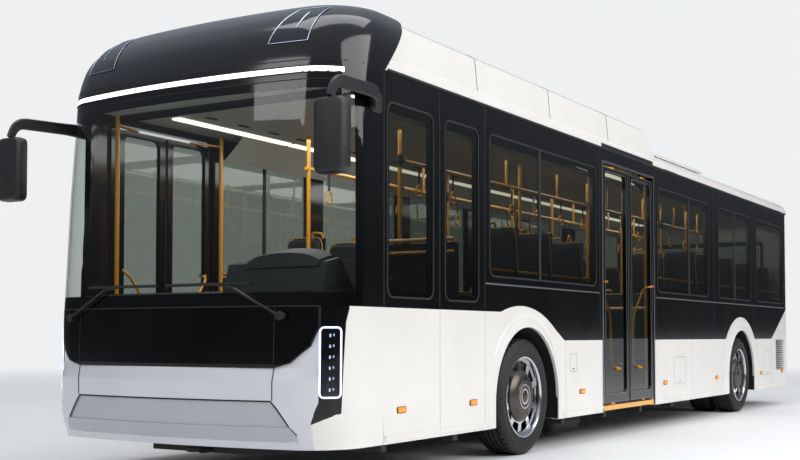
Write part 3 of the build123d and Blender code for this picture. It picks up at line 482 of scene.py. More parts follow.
def bent(points, reach, steps=5):
    # A polyline whose corners become short curves that start reach before each corner
    points = [Vector(point) for point in points]
    line = [points[0]]
    for before, corner, after in zip(points, points[1:], points[2:]):
        start = corner + (before - corner).normalized() * reach
        end = corner + (after - corner).normalized() * reach
        for step in range(steps + 1):
            share = step / steps
            line.append(start.lerp(corner, share).lerp(corner.lerp(end, share), share))
    line.append(points[-1])
    return line


def divided(start, end, parts):
    return [start.lerp(end, i / parts) for i in range(parts + 1)]


def tube(points, radius, sides=8):
    points = [Vector(point) for point in points]
    run = (points[-1] - points[0]).normalized()
    up = Vector((0, 0, 1)) if abs(run.z) < 0.7 else Vector((0.1, 1, 0.05))
    return swept(points, circle(radius, sides), up)


def rounded(x0, x1, z0, z1, radius, steps=5):
    # Outline of a rectangle with round corners
    outline = []
    for cx, cz, turn in ((x1, z1, 0), (x0, z1, 1), (x0, z0, 2), (x1, z0, 3)):
        mid_x = cx - math.copysign(radius, cx - (x0 + x1) / 2)
        mid_z = cz - math.copysign(radius, cz - (z0 + z1) / 2)
        for step in range(steps + 1):
            angle = math.pi / 2 * (turn + step / steps)
            outline.append((mid_x + radius * math.cos(angle), mid_z + radius * math.sin(angle)))
    return outline


def box(low, high, edge=0.003, segments=2):
    low, high = Vector(low), Vector(high)
    shape = bmesh.new()
    place = Matrix.Translation((low + high) / 2) @ Matrix.Diagonal((*(high - low), 1))
    bmesh.ops.create_cube(shape, size=1, matrix=place)
    if edge:
        bmesh.ops.bevel(
            shape,
            geom=shape.edges[:],
            offset=edge,
            segments=segments,
            profile=0.5,
            affect="EDGES",
            material=-1,
        )
    return shape


def turned(profile, steps=48, close=False):
    # Spins a profile of (radius, y) about the Y axis
    shape = bmesh.new()
    verts = [shape.verts.new((0, y, radius)) for radius, y in profile]
    pairs = list(zip(verts, verts[1:])) + ([(verts[-1], verts[0])] if close else [])
    edges = [shape.edges.new(pair) for pair in pairs]
    bmesh.ops.spin(
        shape,
        geom=verts + edges,
        cent=(0, 0, 0),
        axis=(0, 1, 0),
        angle=2 * math.pi,
        steps=steps,
        use_merge=True,
    )
    bmesh.ops.remove_doubles(shape, verts=shape.verts, dist=0.00001)
    return shape


# %% [markdown]
# Two surfaces carry most pieces: the flat side of the body and the front, whose plan is a long bow
# between two corner arcs and which leans back with height. A place on a surface is given as a run
# along it, a height, and how far it stands out.

# %% Places on the body
front_corner = 5.875
half_width = 1.275
body_length = 11.95
bow_nose = 0.030
corner_radius = 0.38
# Height and how far the surface lies behind the nose there
front_lean = (
    (0.257, 0.05), (0.45, 0.0), (0.8, 0.0), (1.173, 0.01), (2.0, 0.06), (2.64, 0.115), (2.775, 0.13),
)
bumper_lean = ((0.257, 0.034), (0.40, -0.014), (0.69, -0.020), (0.782, 0.0), (1.173, 0.01))
body_bow, bumper_bow = 6.2, 5.2


def lean_at(z, levels):
    for (z0, back0), (z1, back1) in zip(levels, levels[1:]):
        if z <= z1:
            return back0 + (back1 - back0) * (max(z, z0) - z0) / (z1 - z0)
    return levels[-1][1]


def plan_of(bow):
    centre = math.sqrt((bow - corner_radius) ** 2 - (half_width - corner_radius) ** 2)
    turn = math.atan2(half_width - corner_radius, centre)
    return centre, turn


def on_front(run, z, out=0.0, bow=body_bow, levels=front_lean):
    centre, turn = plan_of(bow)
    nose = front_corner + bow_nose - lean_at(z, levels)
    side = math.copysign(1, run)
    angle = abs(run) / bow
    if angle <= turn:
        middle, radius, offset = nose - bow, bow, 0.0
    else:
        angle = turn + (abs(run) - bow * turn) / corner_radius
        middle, radius, offset = nose - bow + centre, corner_radius, half_width - corner_radius
    if angle > math.pi / 2:
        back = (angle - math.pi / 2) * corner_radius
        return Vector((middle - back, side * (half_width + out), z))
    return Vector(
        (
            middle + (radius + out) * math.cos(angle),
            side * (offset + (radius + out) * math.sin(angle)),
            z,
        )
    )


def run_at(y, bow=body_bow):
    # Run along the front's plan at a distance y from the middle
    turn = plan_of(bow)[1]
    if abs(y) <= bow * math.sin(turn):
        run = bow * math.asin(abs(y) / bow)
    else:
        share = min(1.0, (abs(y) - half_width + corner_radius) / corner_radius)
        run = bow * turn + corner_radius * (math.asin(share) - turn)
    return math.copysign(run, y)


def at(x, y, z):
    # A place whose x is counted from the front corner
    return Vector((front_corner + x, y, z))


def on_left(x, z, out=0.0):
    return at(x, half_width + out, z)


def on_right(x, z, out=0.0):
    return at(x, -half_width - out, z)


rear_face = front_corner + bow_nose - body_length


def on_rear(y, z, out=0.0):
    return Vector((rear_face - out, y, z))


def grown(rectangle, by):
    x0, x1, z0, z1 = rectangle
    return x0 - by, x1 + by, z0 - by, z1 + by


def frame_ring(place, rectangle, radius, width, deep, proud, steps=5):
    # A flat ring, width wide, inside a rectangle with round corners
    outline = rounded(*rectangle, radius, steps)
    inner = rounded(*grown(rectangle, -width), max(radius - width, 0.002), steps)
    sections = [
        [place(*o, deep), place(*i, deep), place(*i, proud), place(*o, proud)] for o, i in zip(outline, inner)
    ]
    return skin(sections, loop=True)


def plate_on(place, rectangle, radius, deep, proud, edge=0.003, steps=4):
    # A raised plate with a broken edge; its face is a fan that follows the surface
    outline = rounded(*rectangle, radius, steps)
    inset = rounded(*grown(rectangle, -edge), max(radius - edge, 0.001), steps)
    rows = [
        [place(*p, deep) for p in outline],
        [place(*p, proud - edge) for p in outline],
        [place(*p, proud) for p in inset],
    ]
    x0, x1, z0, z1 = rectangle
    x, z = (x0 + x1) / 2, (z0 + z1) / 2
    for share in (0.6, 0.2):
        rows.append([place(x + (a - x) * share, z + (b - z) * share, proud) for a, b in inset])
    return skin(rows)


def islands_of(name):
    # Boxes of the separate solids in a CAD node, from a merged copy of its mesh
    shape = bmesh.new()
    shape.from_mesh(nodes[name].data)
    bmesh.ops.remove_doubles(shape, verts=shape.verts, dist=0.0001)
    seen, boxes = set(), []
    for start in shape.verts:
        if start.index in seen:
            continue
        seen.add(start.index)
        group, queue = [], [start]
        while queue:
            vert = queue.pop()
            group.append(vert.co.copy())
            for edge in vert.link_edges:
                other = edge.other_vert(vert)
                if other.index not in seen:
                    seen.add(other.index)
                    queue.append(other)
        low = Vector([min(co[axis] for co in group) for axis in range(3)])
        high = Vector([max(co[axis] for co in group) for axis in range(3)])
        boxes.append((low, high))
    shape.free()
    return boxes


panes = islands_of("windows")
print("panes", len(panes))

# %% [markdown]
# The side windows are bonded flush into the black wall. What shows round each pane is a rubber
# seal a finger wide and, behind the glass, a printed border. Both are rings carried round the
# pane's rounded outline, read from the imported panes.

# %% Window seals and borders
seals, borders = bmesh.new(), bmesh.new()
for low, high in panes:
    if high.x - low.x > 0.1:
        place = on_left if low.y > 0 else on_right
        pane = (low.x - front_corner, high.x - front_corner, low.z, high.z)
        seal_width, seal_proud, border_width = 0.014, 0.0015, 0.045
    else:
        place = on_rear
        pane = (low.y, high.y, low.z, high.z)
        seal_width, seal_proud, border_width = 0.016, -0.0002, 0.06
    absorb(seals, frame_ring(place, grown(pane, 0.006), 0.076, seal_width, -0.004, seal_proud))
    absorb(borders, frame_ring(place, pane, 0.07, border_width, -0.014, -0.0125))
add_piece("window_seals", seals, joint_rubber)
add_piece("window_printed_borders", borders, joint_rubber)

# %% [markdown]
# Long windows are made of two panes that meet over a slim mullion, and the black wall is made of
# panels with joints between them. A bus also has gutters over its doors and a trim line under the
# windows. These are straight bars on the side, listed by where they start and end.

# %% Mullions, joints, gutters and trim
mullions = bmesh.new()
mullion_places = (
    (on_left, -3.2), (on_left, -7.27), (on_right, -2.66),
    (on_right, -5.86), (on_left, -9.15), (on_right, -4.26),
)
for place, x in mullion_places:
    outline = (x - 0.022, x + 0.022, 1.455, 2.565)
    absorb(mullions, plate_on(place, outline, 0.004, -0.0135, -0.0022, 0.001, 1))
add_piece("window_mullions", mullions, joint_rubber)

joints = bmesh.new()
half_joint, joint_head = 0.004, 2.775
joint_feet = {
    on_left: (
        (-0.704, 1.18), (-1.462, 1.18), (-2.172, 1.18), (-4.54, 0.95),
        (-6.11, 0.95), (-8.22, 0.95), (-10.05, 1.16),
    ),
    on_right: (
        (-0.704, 1.18), (-1.93, 1.18), (-3.42, 1.12), (-5.09, 0.95),
        (-6.67, 0.95), (-8.18, 0.95), (-9.68, 1.19),
    ),
}
for place, feet in joint_feet.items():
    for x, foot in feet:
        outline = (x - half_joint, x + half_joint, foot, joint_head)
        absorb(joints, plate_on(place, outline, 0.002, -0.002, 0.0012, 0.0006, 1))
add_piece("wall_joints", joints, joint_rubber)

trims = bmesh.new()
for place, x0, x1 in ((on_left, -4.535, -2.18), (on_left, -11.70, -6.115), (on_right, -11.70, -1.94)):
    absorb(trims, plate_on(place, (x0, x1, 1.384, 1.396), 0.003, -0.002, 0.004, 0.002, 2))
add_piece("sill_trim_lines", trims, trim_aluminium)

gutters = bmesh.new()
for x0, x1, z0, z1 in ((-6.06, -4.62, 2.79, 2.832), (-6.84, -6.44, 2.776, 2.800)):
    for place, shift in ((on_left, 0.0), (on_right, 3.9)):
        absorb(gutters, plate_on(place, (x0 + shift, x1 + shift, z0, z1), 0.01, -0.06, 0.0, 0.006))
gutter_section = [(0, 0), (0.0, 0.016), (0.006, 0.020), (0.012, 0.012), (0.012, 0)]
absorb(gutters, both_sides(swept([on_left(-0.75, 2.770), on_left(-11.83, 2.770)], gutter_section)))
add_piece("roof_gutters", gutters, black_abs)

# %% [markdown]
# Each wheel arch has a pressed flare. Its lip stands out round the opening, and a shallow channel
# runs between the lip and the crease above it. The lip is a section swept round the arch's curve.
# Inside the arch a felt-faced liner keeps spray off the wheel box.

# %% Wheel arches
front_axle, rear_axle = -2.942, -9.408
arch_radius, arch_spring = 0.605, 0.45


def arch_line(axle, radius, foot, steps=28):
    points = [(axle - radius, foot)]
    for step in range(steps + 1):
        angle = math.pi - math.pi * step / steps
        points.append((axle + radius * math.cos(angle), arch_spring + radius * math.sin(angle)))
    points.append((axle + radius, foot))
    return points


flares = bmesh.new()
flare_section = (
    # distance outside the opening, height above the panel
    (0.0, -0.03),
    (0.0, 0.010),
    (0.006, 0.013),
    (0.03, 0.012),
    (0.05, 0.003),
    (0.085, 0.0005),
    (0.105, 0.004),
    (0.118, -0.002),
)
for axle in (front_axle, rear_axle):
    rows = [
        [on_left(x, z, out) for x, z in arch_line(axle, arch_radius + outside, 0.262)]
        for outside, out in flare_section
    ]
    absorb(flares, both_sides(skin(rows, ring=False)))
add_piece("wheel_arch_flares", flares, white_lacquer)

liners = bmesh.new()
for axle, inboard in ((front_axle, 0.585), (rear_axle, 0.625)):
    line = arch_line(axle, arch_radius - 0.004, 0.265, 20)
    liner = skin([[at(x, y, z) for x, z in line] for y in (1.262, 1.0, 0.8, inboard)], ring=False)
    if axle == front_axle:
        inner_wall = [[at(x, inboard, z), at(x, inboard, 0.275)] for x, z in line]
        absorb(liner, skin(inner_wall, ring=False))
    absorb(liners, both_sides(liner))
add_piece("arch_liners", liners, arch_liner)

# %% [markdown]
# Side markers and service flaps sit on the skirt. Each marker is an amber lens over a black base.
# A flap shows as a metal line round its edge and a latch at its foot. The skirt's own foot has a
# rounded moulding that stops at the arches and the doorways.

# %% Side markers and flaps
marker_bases, marker_lenses = bmesh.new(), bmesh.new()
marker_stations = (-0.929, -1.975, -4.096, -6.399, -8.316, -10.398, -11.554)
for x in marker_stations:
    base, lens = (x - 0.060, x + 0.060, 0.455, 0.500), (x - 0.053, x + 0.053, 0.460, 0.496)
    # On the right the front doorway takes the first marker's place
    for place in (on_left,) if x == marker_stations[0] else (on_left, on_right):
        absorb(marker_bases, plate_on(place, base, 0.010, -0.002, 0.005, 0.002))
        absorb(marker_lenses, plate_on(place, lens, 0.008, 0.004, 0.014, 0.005))
add_piece("side_marker_bases", marker_bases, black_abs)
add_piece("side_marker_lenses", marker_lenses, amber_lens)

flaps = bmesh.new()
for x, z, width, height in ((-3.90, 0.74, 0.16, 0.16), (-6.9, 0.60, 0.42, 0.30), (-10.75, 0.62, 0.36, 0.34)):
    foot = z - height / 2
    outline = (x - width / 2, x + width / 2, foot, z + height / 2)
    latch = (x - 0.016, x + 0.016, foot + 0.02, foot + 0.034)
    for place in (on_left, on_right):
        absorb(flaps, frame_ring(place, outline, 0.022, 0.004, -0.001, 0.0006))
        absorb(flaps, plate_on(place, latch, 0.005, 0.0, 0.003, 0.001))
add_piece("service_flap_lines", flaps, trim_aluminium)

skirt_edges = bmesh.new()
arch_reach = 0.735
arch_edges = [axle + way * arch_reach for axle in (rear_axle, front_axle) for way in (-1, 1)]
moulding = ((0.318, 0.0004), (0.314, 0.005), (0.275, 0.003), (0.2575, -0.014))
for side, doorway in ((on_left, (-6.062, -4.608)), (on_right, (-1.882, -0.738))):
    stops = sorted([-11.80, -0.72, *arch_edges, *doorway])
    for x0, x1 in zip(stops[0::2], stops[1::2]):
        if x1 - x0 >= 0.03:
            rows = [[side(x, z, out) for z, out in moulding] for x in (x0, x1)]
            absorb(skirt_edges, skin(rows, ring=False))
add_piece("skirt_edge_mouldings", skirt_edges, white_lacquer)

# %% [markdown]
# The front is a set of flush panels, so what the eye reads is the joints between them and the way
# the bumper turns. Joints are dark strips swept along the shut lines on the front's own surface.


# %% Front panel joints
def front_strip(path, width, bow=body_bow, levels=front_lean, out=0.0018):
    # A thin bar along a path of (y, z) on the front, on both sides of the middle
    thick, step_length = 0.002, 0.05
    points, ups = [], []
    for start, end in zip(path, path[1:]):
        steps = max(2, int(math.hypot(end[0] - start[0], end[1] - start[1]) / step_length))
        for step in range(steps + (end == path[-1])):
            y = start[0] + (end[0] - start[0]) * step / steps
            z = start[1] + (end[1] - start[1]) * step / steps
            run = run_at(y, bow)
            low, high = on_front(run, z, 0.0, bow, levels), on_front(run, z, 1.0, bow, levels)
            points.append(low + (high - low) * (out - thick))
            ups.append(high - low)
    return both_sides(swept(points, flat(width, thick), ups))


front_joints = bmesh.new()
bumper_surface = {"bow": bumper_bow, "levels": bumper_lean}
mask_edge = ((0.0, 0.780), (0.868, 0.780), (0.983, 0.811), (1.101, 0.915), (1.144, 1.032), (1.146, 1.170))
centre_edge = ((0.0, 0.565), (0.850, 0.565), (0.890, 0.523), (1.020, 0.350))
bumper_seam = ((0.862, 0.568), (0.864, 0.690), (0.866, 0.776))
lamp_edge = (
    (1.151, 1.170), (1.151, 1.052), (1.147, 0.562), (1.104, 0.421),
    (1.237, 0.491), (1.249, 1.072), (1.258, 1.165),
)
seams = (
    # path, width, surface
    (mask_edge, 0.007, {}),
    (((0.868, 0.786), (0.868, 1.172)), 0.005, {}),
    (((0.0, 1.172), (1.146, 1.172)), 0.008, {}),
    (centre_edge, 0.010, bumper_surface),
    (bumper_seam, 0.005, {"out": 0.004, **bumper_surface}),
    (lamp_edge, 0.006, {}),
)
for path, width, surface in seams:
    absorb(front_joints, front_strip(path, width, **surface))
add_piece("front_panel_joints", front_joints, joint_rubber)

lip_lines = (
    # height, standing out, half width
    (0.402, -0.006, 0.981),
    (0.398, 0.006, 0.984),
    (0.350, 0.004, 1.018),
    (0.262, -0.004, 1.018),
)
lip_rows = [
    [
        on_front(run_at(half * (step / 20 - 1), bumper_bow), z, out, **bumper_surface)
        for z, out, half in lip_lines
    ]
    for step in range(41)
]
# The lip's grey is painted shade of the bumper paint
add_piece("bumper_lower_lip", skin(lip_rows, ring=False), painted_shade_grey)

# %% [markdown]
# Each headlamp is a tall rounded light guide round a smoked lens, with a column of small lamps
# inside. It wraps round the corner of the bus, so its pieces are placed by run and height.

# %% Headlamps
lamp_foot, lamp_head = 0.585, 1.042
guide_box = (run_at(1.149) - 0.004, run_at(1.236) + 0.004, lamp_foot, lamp_head)
lens_box = grown(guide_box, -0.011)
guides = both_sides(frame_ring(on_front, guide_box, 0.034, 0.012, -0.004, 0.006, 8))
lenses = both_sides(plate_on(on_front, lens_box, 0.023, -0.004, 0.003, 0.001, 6))
beads = bmesh.new()
middle_run = (lens_box[0] + lens_box[1]) / 2
for number in range(6):
    z = lamp_foot + 0.055 + number * 0.069
    for back, wide, low, high in ((0.004, 0.006, -0.010, 0.010), (-0.020, 0.004, -0.004, 0.012)):
        mark = (middle_run - back - wide, middle_run - back + wide, z + low, z + high)
        absorb(beads, both_sides(plate_on(on_front, mark, 0.003, 0.0, 0.0045, 0.001)))
add_piece("headlamp_light_guides", guides, led_ring)
add_piece("headlamp_lenses", lenses, smoked_lens)
add_piece("headlamp_beads", beads, led_marks)

sensor_run, sensor_z = run_at(1.190), 0.505
sensor_rings = ((0.022, -0.002), (0.022, 0.003))
sensor = stacked(sensor_rings, 16, lambda a, b, out: on_front(sensor_run + a, sensor_z + b, out))
add_piece("parking_sensors", both_sides(sensor), black_abs)

# %% [markdown]
# A bus mirror hangs ahead of the pillar on a curved flat arm. Its head is a deep rounded shell with
# the glass set back inside its rim, and a smaller wide-angle glass below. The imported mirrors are
# plain bars and slabs, so these pieces replace them and stay where they are.

# %% Mirrors
head_x, head_y = 6.015, 1.42
arm_line = bent(
    [
        (front_corner - 0.60, 1.268, 2.535),
        (front_corner - 0.44, 1.385, 2.565),
        (head_x - 0.05, head_y, 2.545),
        (head_x - 0.005, head_y, 2.43),
    ],
    0.09,
)
arm_outline = ((-1, -0.3), (-0.8, -1), (0.8, -1), (1, -0.3), (1, 0.3), (0.8, 1), (-0.8, 1), (-1, 0.3))
last = len(arm_line) - 1
arm_sections = []
for index, point in enumerate(arm_line):
    share = index / last
    along = (arm_line[min(last, index + 1)] - arm_line[max(0, index - 1)]).normalized()
    side = along.cross(Vector((0, 1, 0))).normalized()
    across = side.cross(along)
    tall, wide = 0.055 - 0.024 * share, 0.019 - 0.004 * share
    arm_sections.append([point + side * tall * a + across * wide * b for a, b in arm_outline])
mirror_arms = skin(arm_sections)
absorb(mirror_arms, plate_on(on_left, (-0.665, -0.535, 2.465, 2.605), 0.03, -0.004, 0.014, 0.006))
head_profile = (
    # distance ahead of the head's middle, growth of its outline
    (0.030, -0.030), (0.026, -0.012), (0.008, -0.002), (-0.030, 0.0),
    (-0.066, -0.003), (-0.070, -0.008), (-0.062, -0.014),
)
head_box = (head_y - 0.1125, head_y + 0.1125, 1.962, 2.430)
head_rows = [
    [Vector((head_x + x, y, z)) for y, z in rounded(*grown(head_box, grow), 0.050 + grow, 6)]
    for x, grow in head_profile
]


def facing_back(y, z, out=0.0):
    return Vector((head_x - 0.0635 - out, y, z))


mirror_panes = bmesh.new()
for low, high in ((2.085, 2.410), (1.985, 2.068)):
    pane_box = (head_y - 0.092, head_y + 0.092, low, high)
    absorb(mirror_panes, plate_on(facing_back, pane_box, 0.03, -0.002, 0.003, 0.001))
mirror_set = add_piece("mirror_arms", both_sides(mirror_arms), black_abs)
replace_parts(mirror_set, "mirrors")
add_piece("mirror_heads", both_sides(skin(head_rows)), black_abs)
add_piece("mirror_panes", both_sides(mirror_panes), mirror_glass)

# %% [markdown]
# The wipers are packed as plain bars. On the real bus each has a round cap over its spindle, an
# arm with a pressed rib, and a rubber blade held by a spine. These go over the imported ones.


# %% Wiper details
def across_front(y0, y1, z, out, parts=12):
    return [on_front(run_at(y0 + (y1 - y0) * i / parts), z, out) for i in range(parts + 1)]


caps, ribs = bmesh.new(), bmesh.new()
cap_rings = ((0.030, 0.044), (0.030, 0.050), (0.024, 0.056), (0.010, 0.058))
spindle_z = 1.110
for side in (1, -1):
    run = run_at(side * 0.93)
    absorb(caps, stacked(cap_rings, 20, lambda a, b, out: on_front(run + a, spindle_z + b, out)))
    points = [on_front(run, spindle_z, 0.052), on_front(run_at(side * 0.56), 1.300, 0.046)]
    absorb(ribs, swept(points, flat(0.010, 0.004, 0.002), (1, 0, 0)))
for y0, y1 in ((0.02, 0.70), (-0.74, -0.06)):
    absorb(ribs, swept(across_front(y0, y1, 1.320, 0.036), flat(0.008, 0.006, 0.002), (1, 0, 0)))
    absorb(caps, swept(across_front(y0, y1, 1.318, 0.004), flat(0.006, 0.014), (1, 0, 0)))
add_piece("wiper_spindle_caps_and_lips", caps, joint_rubber)
add_piece("wiper_ribs", ribs, black_abs)

# %% [markdown]
# The dome over the windscreen is one moulding that rolls back into the roof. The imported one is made
# of flat bands, so a smooth skin replaces it: its outline is carried up through the same stations,
# with a curve instead of a corner at each. A wall closes its back, along the slanted cut where the
# roof fairing starts. The roof lamps are smoked lenses let into that skin.

# %% Dome
dome_stations = (
    # height, setback of the nose, narrowing of each side
    (2.640, 0.115, 0.0),
    (2.775, 0.130, 0.0),
    (2.952, 0.190, 0.013),
    (3.069, 0.275, 0.038),
    (3.150, 0.370, 0.080),
    (3.224, 0.500, 0.150),
    (3.281, 0.660, 0.300),
    (3.309, 0.860, 0.560),
)
dome_cut_foot, dome_cut_head = -0.720, -1.100


def dome_station(level):
    # A curve through the stations; level runs from 0 to their number less one
    index = min(int(level), len(dome_stations) - 2)
    share = level - index
    rows = [Vector(dome_stations[max(0, min(len(dome_stations) - 1, index + k))]) for k in (-1, 0, 1, 2)]
    bend = (rows[2] - rows[0]) / 2, (rows[3] - rows[1]) / 2
    a = rows[1] * (2 * share**3 - 3 * share**2 + 1) + bend[0] * (share**3 - 2 * share**2 + share)
    b = rows[2] * (3 * share**2 - 2 * share**3) + bend[1] * (share**3 - share**2)
    return a + b


def on_dome(y_share, level, out=0.0):
    # y_share runs round the outline from -1 at the right cut to 1 at the left one
    z, back, narrow = dome_station(level)
    half = half_width - narrow
    nose = front_corner + bow_nose - back
    centre = nose - body_bow + math.sqrt((body_bow - corner_radius) ** 2 - (half - corner_radius) ** 2)
    turn = math.atan2(half - corner_radius, centre - nose + body_bow)
    lean = max(0.0, min(1.0, (z - 2.775) / (3.190 - 2.775)))
    cut = front_corner + (-0.704 if z < 2.775 else dome_cut_foot + (dome_cut_head - dome_cut_foot) * lean)
    lengths = (body_bow * turn, corner_radius * (math.pi / 2 - turn), max(0.0, centre - cut))
    run = abs(y_share) * sum(lengths)
    side = math.copysign(1, y_share)
    if run <= lengths[0]:
        angle = run / body_bow
        x, y = nose - body_bow + (body_bow + out) * math.cos(angle), (body_bow + out) * math.sin(angle)
    elif run <= lengths[0] + lengths[1]:
        angle = turn + (run - lengths[0]) / corner_radius
        x = centre + (corner_radius + out) * math.cos(angle)
        y = half - corner_radius + (corner_radius + out) * math.sin(angle)
    else:
        x, y = centre - (run - lengths[0] - lengths[1]), half + out
    return Vector((x, side * y, z + out * min(1.0, level / 6)))


half_steps = 40
top_level = len(dome_stations) - 1
dome_rows = [
    [on_dome(step / half_steps - 1, top_level * number / 42) for step in range(2 * half_steps + 1)]
    for number in range(43)
]
dome = skin(dome_rows, ring=False)
top_line = divided(dome_rows[-1][0], dome_rows[-1][-1], 2 * half_steps)
absorb(dome, skin([dome_rows[-1], top_line], ring=False))
absorb(dome, skin([divided(row[0], row[-1], 20) for row in reversed(dome_rows)], ring=False))
smooth_dome = add_piece("front_dome_skin", dome, black_lacquer, angle=50)
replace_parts(smooth_dome, "front_dome")


def dome_share_at(y, level):
    # Share of the outline at a distance y from the middle
    low, high = 0.0, 1.0
    for number in range(30):
        middle = (low + high) / 2
        if on_dome(middle, level).y < y:
            low = middle
        else:
            high = middle
    return low


lamp_low, lamp_high = 1.72, 4.55
rows = []
for number in range(13):
    share = number / 12
    level = lamp_low + (lamp_high - lamp_low) * share
    inner, outer = 0.700 + 0.070 * share, 0.990 - 0.010 * share
    line = [dome_share_at(inner + (outer - inner) * step / 10, level) for step in range(11)]
    rows.append([on_dome(y_share, level, 0.004) for y_share in line])
lamp_lenses = both_sides(skin(rows, ring=False))
edge_line = [(0, s) for s in range(11)] + [(n, 10) for n in range(1, 13)]
edge_line += [(12, s) for s in range(9, -1, -1)] + [(n, 0) for n in range(11, 0, -1)]
edge_points = [rows[n][s] for n, s in edge_line]
lamp_up = (0.5, 0.35, 0.8)
# The rims' chrome is tinted blue as a painted reflection of the sky
lamp_rims = both_sides(swept(edge_points, flat(0.006, 0.003, 0.001), lamp_up, loop=True))
# A thin chrome strip laid across each lens is a painted highlight that stands for a reflected line
painted_highlight_streak = [rows[n][6] + Vector((0.002, 0, 0.002)) for n in range(3, 10)]
absorb(lamp_rims, both_sides(swept(painted_highlight_streak, flat(0.007, 0.002), lamp_up)))
roof_lamp_lenses = add_piece("roof_lamp_lenses", lamp_lenses, smoked_lens)
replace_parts(roof_lamp_lenses, "front_lamps")
add_piece("roof_lamp_rims", lamp_rims, rim_chrome_painted_blue_reflection)

# %% [markdown]
# The light bar is a white guide that runs right across under the dome, between two thin black lips.
# Shut lines above and below it part the dome from the windscreen.

# %% Light bar and dome joints
dome_joints, bar_edges = bmesh.new(), bmesh.new()
for z, width in ((2.772, 0.006), (2.642, 0.006)):
    absorb(dome_joints, front_strip(((0.0, z), (1.268, z)), width))
for z in (2.7305, 2.6865):
    absorb(bar_edges, front_strip(((0.0, z), (1.20, z)), 0.008, out=0.006))
light_guide = front_strip(((0.0, 2.7085), (1.208, 2.7085)), 0.034, out=0.0045)
add_piece("light_bar_guide", light_guide, led_white)
add_piece("dome_joints", dome_joints, joint_rubber)
add_piece("light_bar_lips", bar_edges, black_abs)

# %% [markdown]
# A bus tyre has a tread of straight ribs between grooves 13 mm deep, shoulder blocks cut by short
# slots, and a side wall with raised rings. The section is spun round the axle, and then the
# shoulder faces at every third step are pushed in to make the slots.

# %% Tyres
tyre_outer, tyre_wide = 0.480, 0.280
groove_places = (0.070, 0.112, 0.154, 0.196)


def tyre_section():
    # Radius and depth inboard of the wheel face, from the outer bead over the tread to the inner one
    section = [
        (0.329, 0.022), (0.342, 0.009), (0.362, 0.006), (0.366, 0.003), (0.372, 0.003), (0.376, 0.006),
        (0.402, 0.001), (0.428, 0.0005), (0.432, 0.003), (0.438, 0.006), (0.456, 0.014), (0.470, 0.024),
        (0.478, 0.036),
    ]
    groove = ((0.4795, -0.006), (0.4665, -0.0035), (0.4665, 0.0035), (0.4795, 0.006))
    for place in groove_places:
        section += [(radius, place + depth) for radius, depth in groove]
    inner_wall = (
        (0.478, 0.036), (0.470, 0.024), (0.456, 0.014), (0.436, 0.005),
        (0.400, 0.001), (0.362, 0.006), (0.329, 0.022),
    )
    return section + [(radius, tyre_wide - depth) for radius, depth in inner_wall]


def tyre_shape(steps=144):
    shape = turned([(radius, -depth) for radius, depth in tyre_section()], steps)
    bmesh.ops.recalc_face_normals(shape, faces=shape.faces)
    slots = []
    for face in shape.faces:
        centre = face.calc_center_median()
        turn = (math.atan2(centre.z, centre.x) + math.pi) / (2 * math.pi)
        depth = -centre.y
        at_edge = 0.02 < depth < 0.062 or tyre_wide - 0.062 < depth < 0.26
        on_shoulder = at_edge and 0.463 < math.hypot(centre.x, centre.z) < 0.4795
        if on_shoulder and int(math.floor(turn * steps)) % 3 == 0:
            slots.append(face)
    bmesh.ops.inset_individual(shape, faces=slots, thickness=0.002, depth=-0.006)
    return shape


wheel_face_y, twin_pitch = 1.255, 0.312
side_turns = {"left": Matrix(), "right": mirror_y}


def wheel_place(side, axle, inboard=0.0):
    centre = Matrix.Translation((front_corner + axle, wheel_face_y - inboard, tyre_outer))
    return side_turns[side] @ centre


one_tyre = tyre_shape()
tyre_ends = (
    # end, axle, tyres at each side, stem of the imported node's name
    ("front", front_axle, 1, "tyre_front_"),
    ("rear", rear_axle, 2, "tyres_rear_"),
)
for end, axle, count, stem in tyre_ends:
    for side in side_turns:
        node = stem + side
        shape = bmesh.new()
        for number in range(count):
            absorb(shape, one_tyre, wheel_place(side, axle, number * twin_pitch), keep=True)
        tyre = add_piece(node + "_treaded", shape, tyre_rubber, end + "_wheel_" + side, 28)
        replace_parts(tyre, node)
one_tyre.free()

# %% [markdown]
# The wheels are polished discs with ten windows. A satin bronze-grey cover hides the hub and its
# nuts. It is a shallow dish with pressed rings, a raised cap in its middle, and ten screws. The
# rear discs are dished the other way, so there the cover is a deeper drum.


# %% Hub covers
def hub_cover(face, rim_depth, radius=0.212):
    profile = (
        (0.0, face - 0.004), (0.030, face - 0.004), (0.036, face), (0.052, face + 0.001),
        (0.056, face + 0.004), (0.062, face + 0.004), (0.066, face + 0.001), (0.120, face + 0.002),
        (0.124, face + 0.005), (0.130, face + 0.005), (0.134, face + 0.002), (0.172, face + 0.006),
        (0.196, rim_depth - 0.014), (radius, rim_depth), (radius, rim_depth + 0.006),
        (0.170, rim_depth + 0.006),
    )
    shape = turned([(r, -depth) for r, depth in profile], 72)
    for x, z in circle(0.150, 10):
        screw = turned([(0.0, 0.0), (0.007, 0.0), (0.009, -0.002), (0.009, -0.010)], 6)
        absorb(shape, screw, Matrix.Translation((x, 0.001 - face, z)))
    return shape


